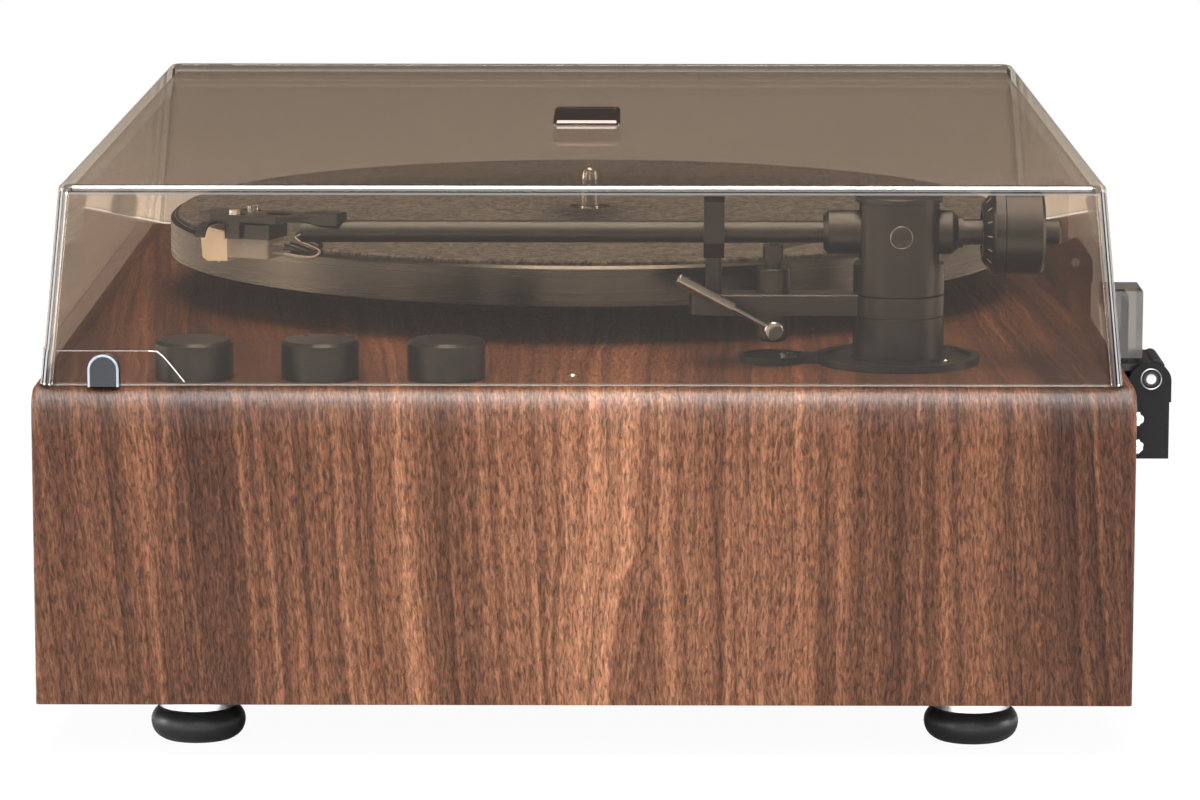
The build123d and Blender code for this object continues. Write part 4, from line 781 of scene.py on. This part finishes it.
def cartridge_wires():
    """Four thin wires that loop from the cartridge's pins into the tube's mouth."""
    can_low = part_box("cartridge_can")[0]
    mouth = Vector((pivot.x, tube_low.y, tube_z))
    back = Vector((math.sin(shell_angle), math.cos(shell_angle), 0))
    aside = Vector((math.cos(shell_angle), -math.sin(shell_angle), 0))
    middle_x = mouth.x - pin_setback * math.sin(shell_angle)
    middle = Vector((middle_x, mouth.y - pin_reach, can_low.z))
    rows = [(side, up) for up in pin_heights for side in (-1, 1)]
    for (name, colour), (side, up) in zip(wire_colours.items(), rows):
        pin = middle + aside * pin_aside * side + Vector((0, 0, up))
        loop = mouth + Vector((0.0006 * side - 0.0012, 0.0045 + up / 4, -0.0056 - 0.0009 * side))
        inside = Vector((0.0007 * side, 0, up * 0.3 - 0.0012))
        # Out of the pin, down and round the loop, then up into the tube
        stations = [
            pin,
            pin + back * 0.0030 + Vector((0, 0, -0.0002)),
            loop + Vector((0, -0.0016, -0.0030)),
            loop + Vector((0.0011, 0.0026, 0.0000)),
            loop + Vector((0.0014, -0.0020, 0.0022)),
            mouth + Vector((0.0006 * side, -0.0030, -0.0021)),
            mouth + inside + Vector((0, -0.0010, 0)),
            mouth + inside + Vector((0, 0.0050, 0)),
        ]
        finish = plain_finish(name, colour, 0.1, 0.28, 900.0, 0.00001)
        wire(name, [stations], wire_radius, finish, "tonearm", kind="NURBS")


def dial_marks():
    """Plain strokes on the tracking dial's cone."""
    low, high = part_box("tracking_dial")
    centre = (low + high) / 2
    finish = plain_finish("mark_paint", rgb(176, 170, 160), 0.05, 0.4)
    sizes = {
        "Marks": stroke_count,
        "Ring radius": stroke_ring,
        "Stroke size": stroke_size,
        "Cone slope": cone_slope,
    }
    mesh = grown("dial_marks", bpy.data.meshes.new("dial_seed"), marks_tree(), sizes, finish)
    mesh.transform(Matrix.Rotation(-math.pi / 2, 4, "X"))
    mesh.transform(Matrix.Translation((centre.x, low.y + stroke_depth, centre.z)))
    settle("dial_marks", mesh, "dial")


def lid_lines():
    """Painted highlights: light wires along the thin step at the skirt's top and round the rims of
    the bumpers.
    """
    bright = plain_finish("bright_painted_highlight", (0.62, 0.60, 0.57), 0.05, 0.2, Specular_IOR_Level=0.9)
    dim_highlight = plain_finish("dim_painted_highlight", (0.22, 0.21, 0.20), 0.05, 0.2, Specular_IOR_Level=0.9)
    front = lid_low.y
    top = lid_low.z + skirt_height
    half_top = lid_high.x - lid_lean_x * skirt_height / (lid_top - lid_low.z)
    level = []
    slanted = []
    for side in (-1, 1):
        outer = side * (half_top + proud)
        level.append([(outer, front + skirt_start, top), (outer, front + skirt_end, top)])
        # The skirt's edge bends down behind its level part and ends at the lid's foot
        slanted.append(
            [
                (outer, front + skirt_end, top),
                (outer, front + 0.0378, top - 0.0002),
                (outer, front + 0.0398, top - 0.0019),
                (side * (half_top + 0.0003 + proud), front + 0.0423, top - 0.0048),
                (side * (lid_high.x - proud), front + 0.0463, lid_low.z + 0.0012),
            ]
        )
    wire("skirt_highlight_lines", level, 0.00012, dim_highlight, "lid_assembly", sides=6)
    wire("skirt_highlight_slants", slanted, 0.0002, bright, "lid_assembly", sides=6)

    low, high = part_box("lid_bumpers")
    middle_y = (low.y + high.y) / 2
    radius = (high.y - low.y) / 2 - bumper_inset
    arc_z = high.z - radius - bumper_inset
    turns = [math.pi * step / arc_steps for step in range(arc_steps + 1)]
    outlines = [
        [
            (x, middle_y + radius, low.z),
            *(
                (x, middle_y + radius * math.cos(turn), arc_z + radius * math.sin(turn))
                for turn in turns
            ),
            (x, middle_y - radius, low.z),
        ]
        for x in (low.x, high.x)
    ]
    # Light grey wires round the bumpers' outlines paint their highlights
    highlight_rim = plain_finish("bumper_rim_highlight", rgb(150, 158, 168), 0.08, 0.3)
    wire("bumper_highlight_rims", outlines, 0.0004, highlight_rim, "lid_assembly")


def painted_highlight_rings():
    """Thin grey rings that paint highlights round the pivot screws, the hinges' rivets and the arm's
    base plate.
    """
    screw_low, screw_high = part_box("pivot_screws")
    middle = (screw_low + screw_high) / 2
    ends = [
        circle_points((x, middle.y, middle.z), screw_rim_radius)
        for x in (screw_low.x + proud, screw_high.x - proud)
    ]
    wire("pivot_highlight_rims", ends, 0.00022, painted_highlight_grey, "yoke", closed=True)
    pin_low, pin_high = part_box("hinge_pins")
    middle = (pin_low + pin_high) / 2
    ends = [
        circle_points((x, middle.y, middle.z), hinge_ring_radius)
        for x in (pin_low.x + 0.0007, pin_high.x - 0.0007)
    ]
    wire("hinge_highlight_rings", ends, 0.00025, plain_steel, "base", closed=True)
    plate_low, plate_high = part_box("arm_base_plate")
    wide = (plate_high.x - plate_low.x) / 2
    centre = (pivot.x, plate_high.y - wide, plate_high.z - plate_inset)
    edge = [circle_points(centre, wide - plate_inset, upright=True)]
    wire("plate_highlight_rim", edge, 0.0003, painted_highlight_grey, "base", closed=True)


cartridge_wires()
dial_marks()
lid_lines()
painted_highlight_rings()


# Studio: floor, lights and the photograph's camera

floor_half = 9.0
world_light = 0.7
light_aim = (0.0, 0.0, 0.1)


def studio_floor():
    """A white floor that stays white to the camera and still takes a soft shadow."""
    f = Finish("studio_floor")
    plain = f.add("BsdfDiffuse", {0: (0.9, 0.9, 0.9, 1.0)})
    glow = f.add("Emission", {0: (1.0, 1.0, 1.0, 1.0), 1: 1.0})
    seen = f.add("LightPath").outputs["Is Camera Ray"]
    spread = f.add("VectorMath", {0: f.place()}, operation="LENGTH").outputs["Value"]
    whiteness = f.between(spread, 0.3, 1.1, 0.955, 1.0)
    f.put(
        f.add("MixShader", {0: f.math("MULTIPLY", seen, whiteness), 1: plain, 2: glow}),
        f.output.inputs[0],
    )
    mesh = bpy.data.meshes.new("studio_floor")
    form = bmesh.new()
    signs = ((-1, -1), (1, -1), (1, 1), (-1, 1))
    form.faces.new([form.verts.new((x * floor_half, y * floor_half, 0)) for x, y in signs])
    form.to_mesh(mesh)
    form.free()
    floor = bpy.data.objects.new("studio_floor", mesh)
    mesh.materials.append(f.material)
    bpy.context.scene.collection.objects.link(floor)


def studio_world():
    """White to the camera; to the machine, a room that is bright in front and dark behind it."""
    world = bpy.data.worlds.new("studio")
    world.use_nodes = True
    tree = world.node_tree
    tree.nodes.clear()
    out = tree.nodes.new("ShaderNodeOutputWorld")
    room = tree.nodes.new("ShaderNodeBackground")
    room.inputs[1].default_value = world_light
    white = tree.nodes.new("ShaderNodeBackground")
    white.inputs[0].default_value = (1.0, 1.0, 1.0, 1.0)
    white.inputs[1].default_value = 1.0
    place = tree.nodes.new("ShaderNodeTexCoord")
    toward = tree.nodes.new("ShaderNodeVectorMath")
    toward.operation = "DOT_PRODUCT"
    toward.inputs[1].default_value = (0.45, 0.0, 0.9)
    ramp = tree.nodes.new("ShaderNodeValToRGB")
    ramp.color_ramp.elements[0].position = 0.0
    ramp.color_ramp.elements[0].color = (0.12, 0.10, 0.085, 1.0)
    ramp.color_ramp.elements[1].position = 0.75
    ramp.color_ramp.elements[1].color = (1.0, 1.0, 1.0, 1.0)
    path = tree.nodes.new("ShaderNodeLightPath")
    mix = tree.nodes.new("ShaderNodeMixShader")
    tree.links.new(place.outputs["Generated"], toward.inputs[0])
    tree.links.new(toward.outputs["Value"], ramp.inputs[0])
    tree.links.new(ramp.outputs[0], room.inputs[0])
    tree.links.new(path.outputs["Is Camera Ray"], mix.inputs[0])
    tree.links.new(room.outputs[0], mix.inputs[1])
    tree.links.new(white.outputs[0], mix.inputs[2])
    tree.links.new(mix.outputs[0], out.inputs[0])
    bpy.context.scene.world = world


def softbox(name, place, size, power):
    """A rectangular area lamp of some watts that faces the middle of the machine."""
    light = bpy.data.lights.new(name, "AREA")
    light.shape = "RECTANGLE"
    light.size, light.size_y = size
    light.energy = power
    lamp = bpy.data.objects.new(name, light)
    lamp.location = place
    lamp.rotation_mode = "QUATERNION"
    lamp.rotation_quaternion = (Vector(light_aim) - Vector(place)).to_track_quat("-Z", "Y")
    bpy.context.scene.collection.objects.link(lamp)


# Fitted to the photograph: place in metres, turns in radians, focal length in its pixels
camera_place = Vector((1.79203, 0.00586, 0.37465))
camera_pitch = 0.1616
camera_yaw = 0.0055
camera_roll = -0.0006
focal_pixels = 5072.38
photo_width = 1200
sensor_width = 36.0


def photo_camera():
    """The photograph's view of the machine's right side, from a little above."""
    ahead = Vector(
        (
            -math.cos(camera_yaw) * math.cos(camera_pitch),
            -math.sin(camera_yaw) * math.cos(camera_pitch),
            -math.sin(camera_pitch),
        )
    )
    data = bpy.data.cameras.new("photo_camera")
    data.sensor_width = sensor_width
    data.lens = focal_pixels * sensor_width / photo_width
    data.clip_start = 0.05
    data.clip_end = 50.0
    camera = bpy.data.objects.new("photo_camera", data)
    right = ahead.cross(Vector((0, 0, 1))).normalized()
    up = right.cross(ahead)
    turned = Matrix.Rotation(camera_roll, 3, ahead)
    right, up = turned @ right, turned @ up
    basis = Matrix((right, up, -ahead)).transposed()
    camera.matrix_world = Matrix.Translation(camera_place) @ basis.to_4x4()
    bpy.context.scene.collection.objects.link(camera)
    bpy.context.scene.camera = camera


studio_floor()
studio_world()
softbox("softbox_left", (1.36, -1.46, 0.42), (0.32, 1.2), 9.0)
softbox("softbox_front", (0.12, -1.95, 0.55), (0.6, 1.4), 34.0)
softbox("softbox_back", (0.12, 1.95, 0.55), (0.6, 1.4), 28.0)
softbox("softbox_top", (0.22, 0.0, 1.6), (0.7, 1.9), 50.0)
softbox("softbox_camera", (2.3, 0.0, 1.9), (1.4, 2.6), 44.0)
photo_camera()

bpy.context.scene.view_settings.view_transform = "Standard"
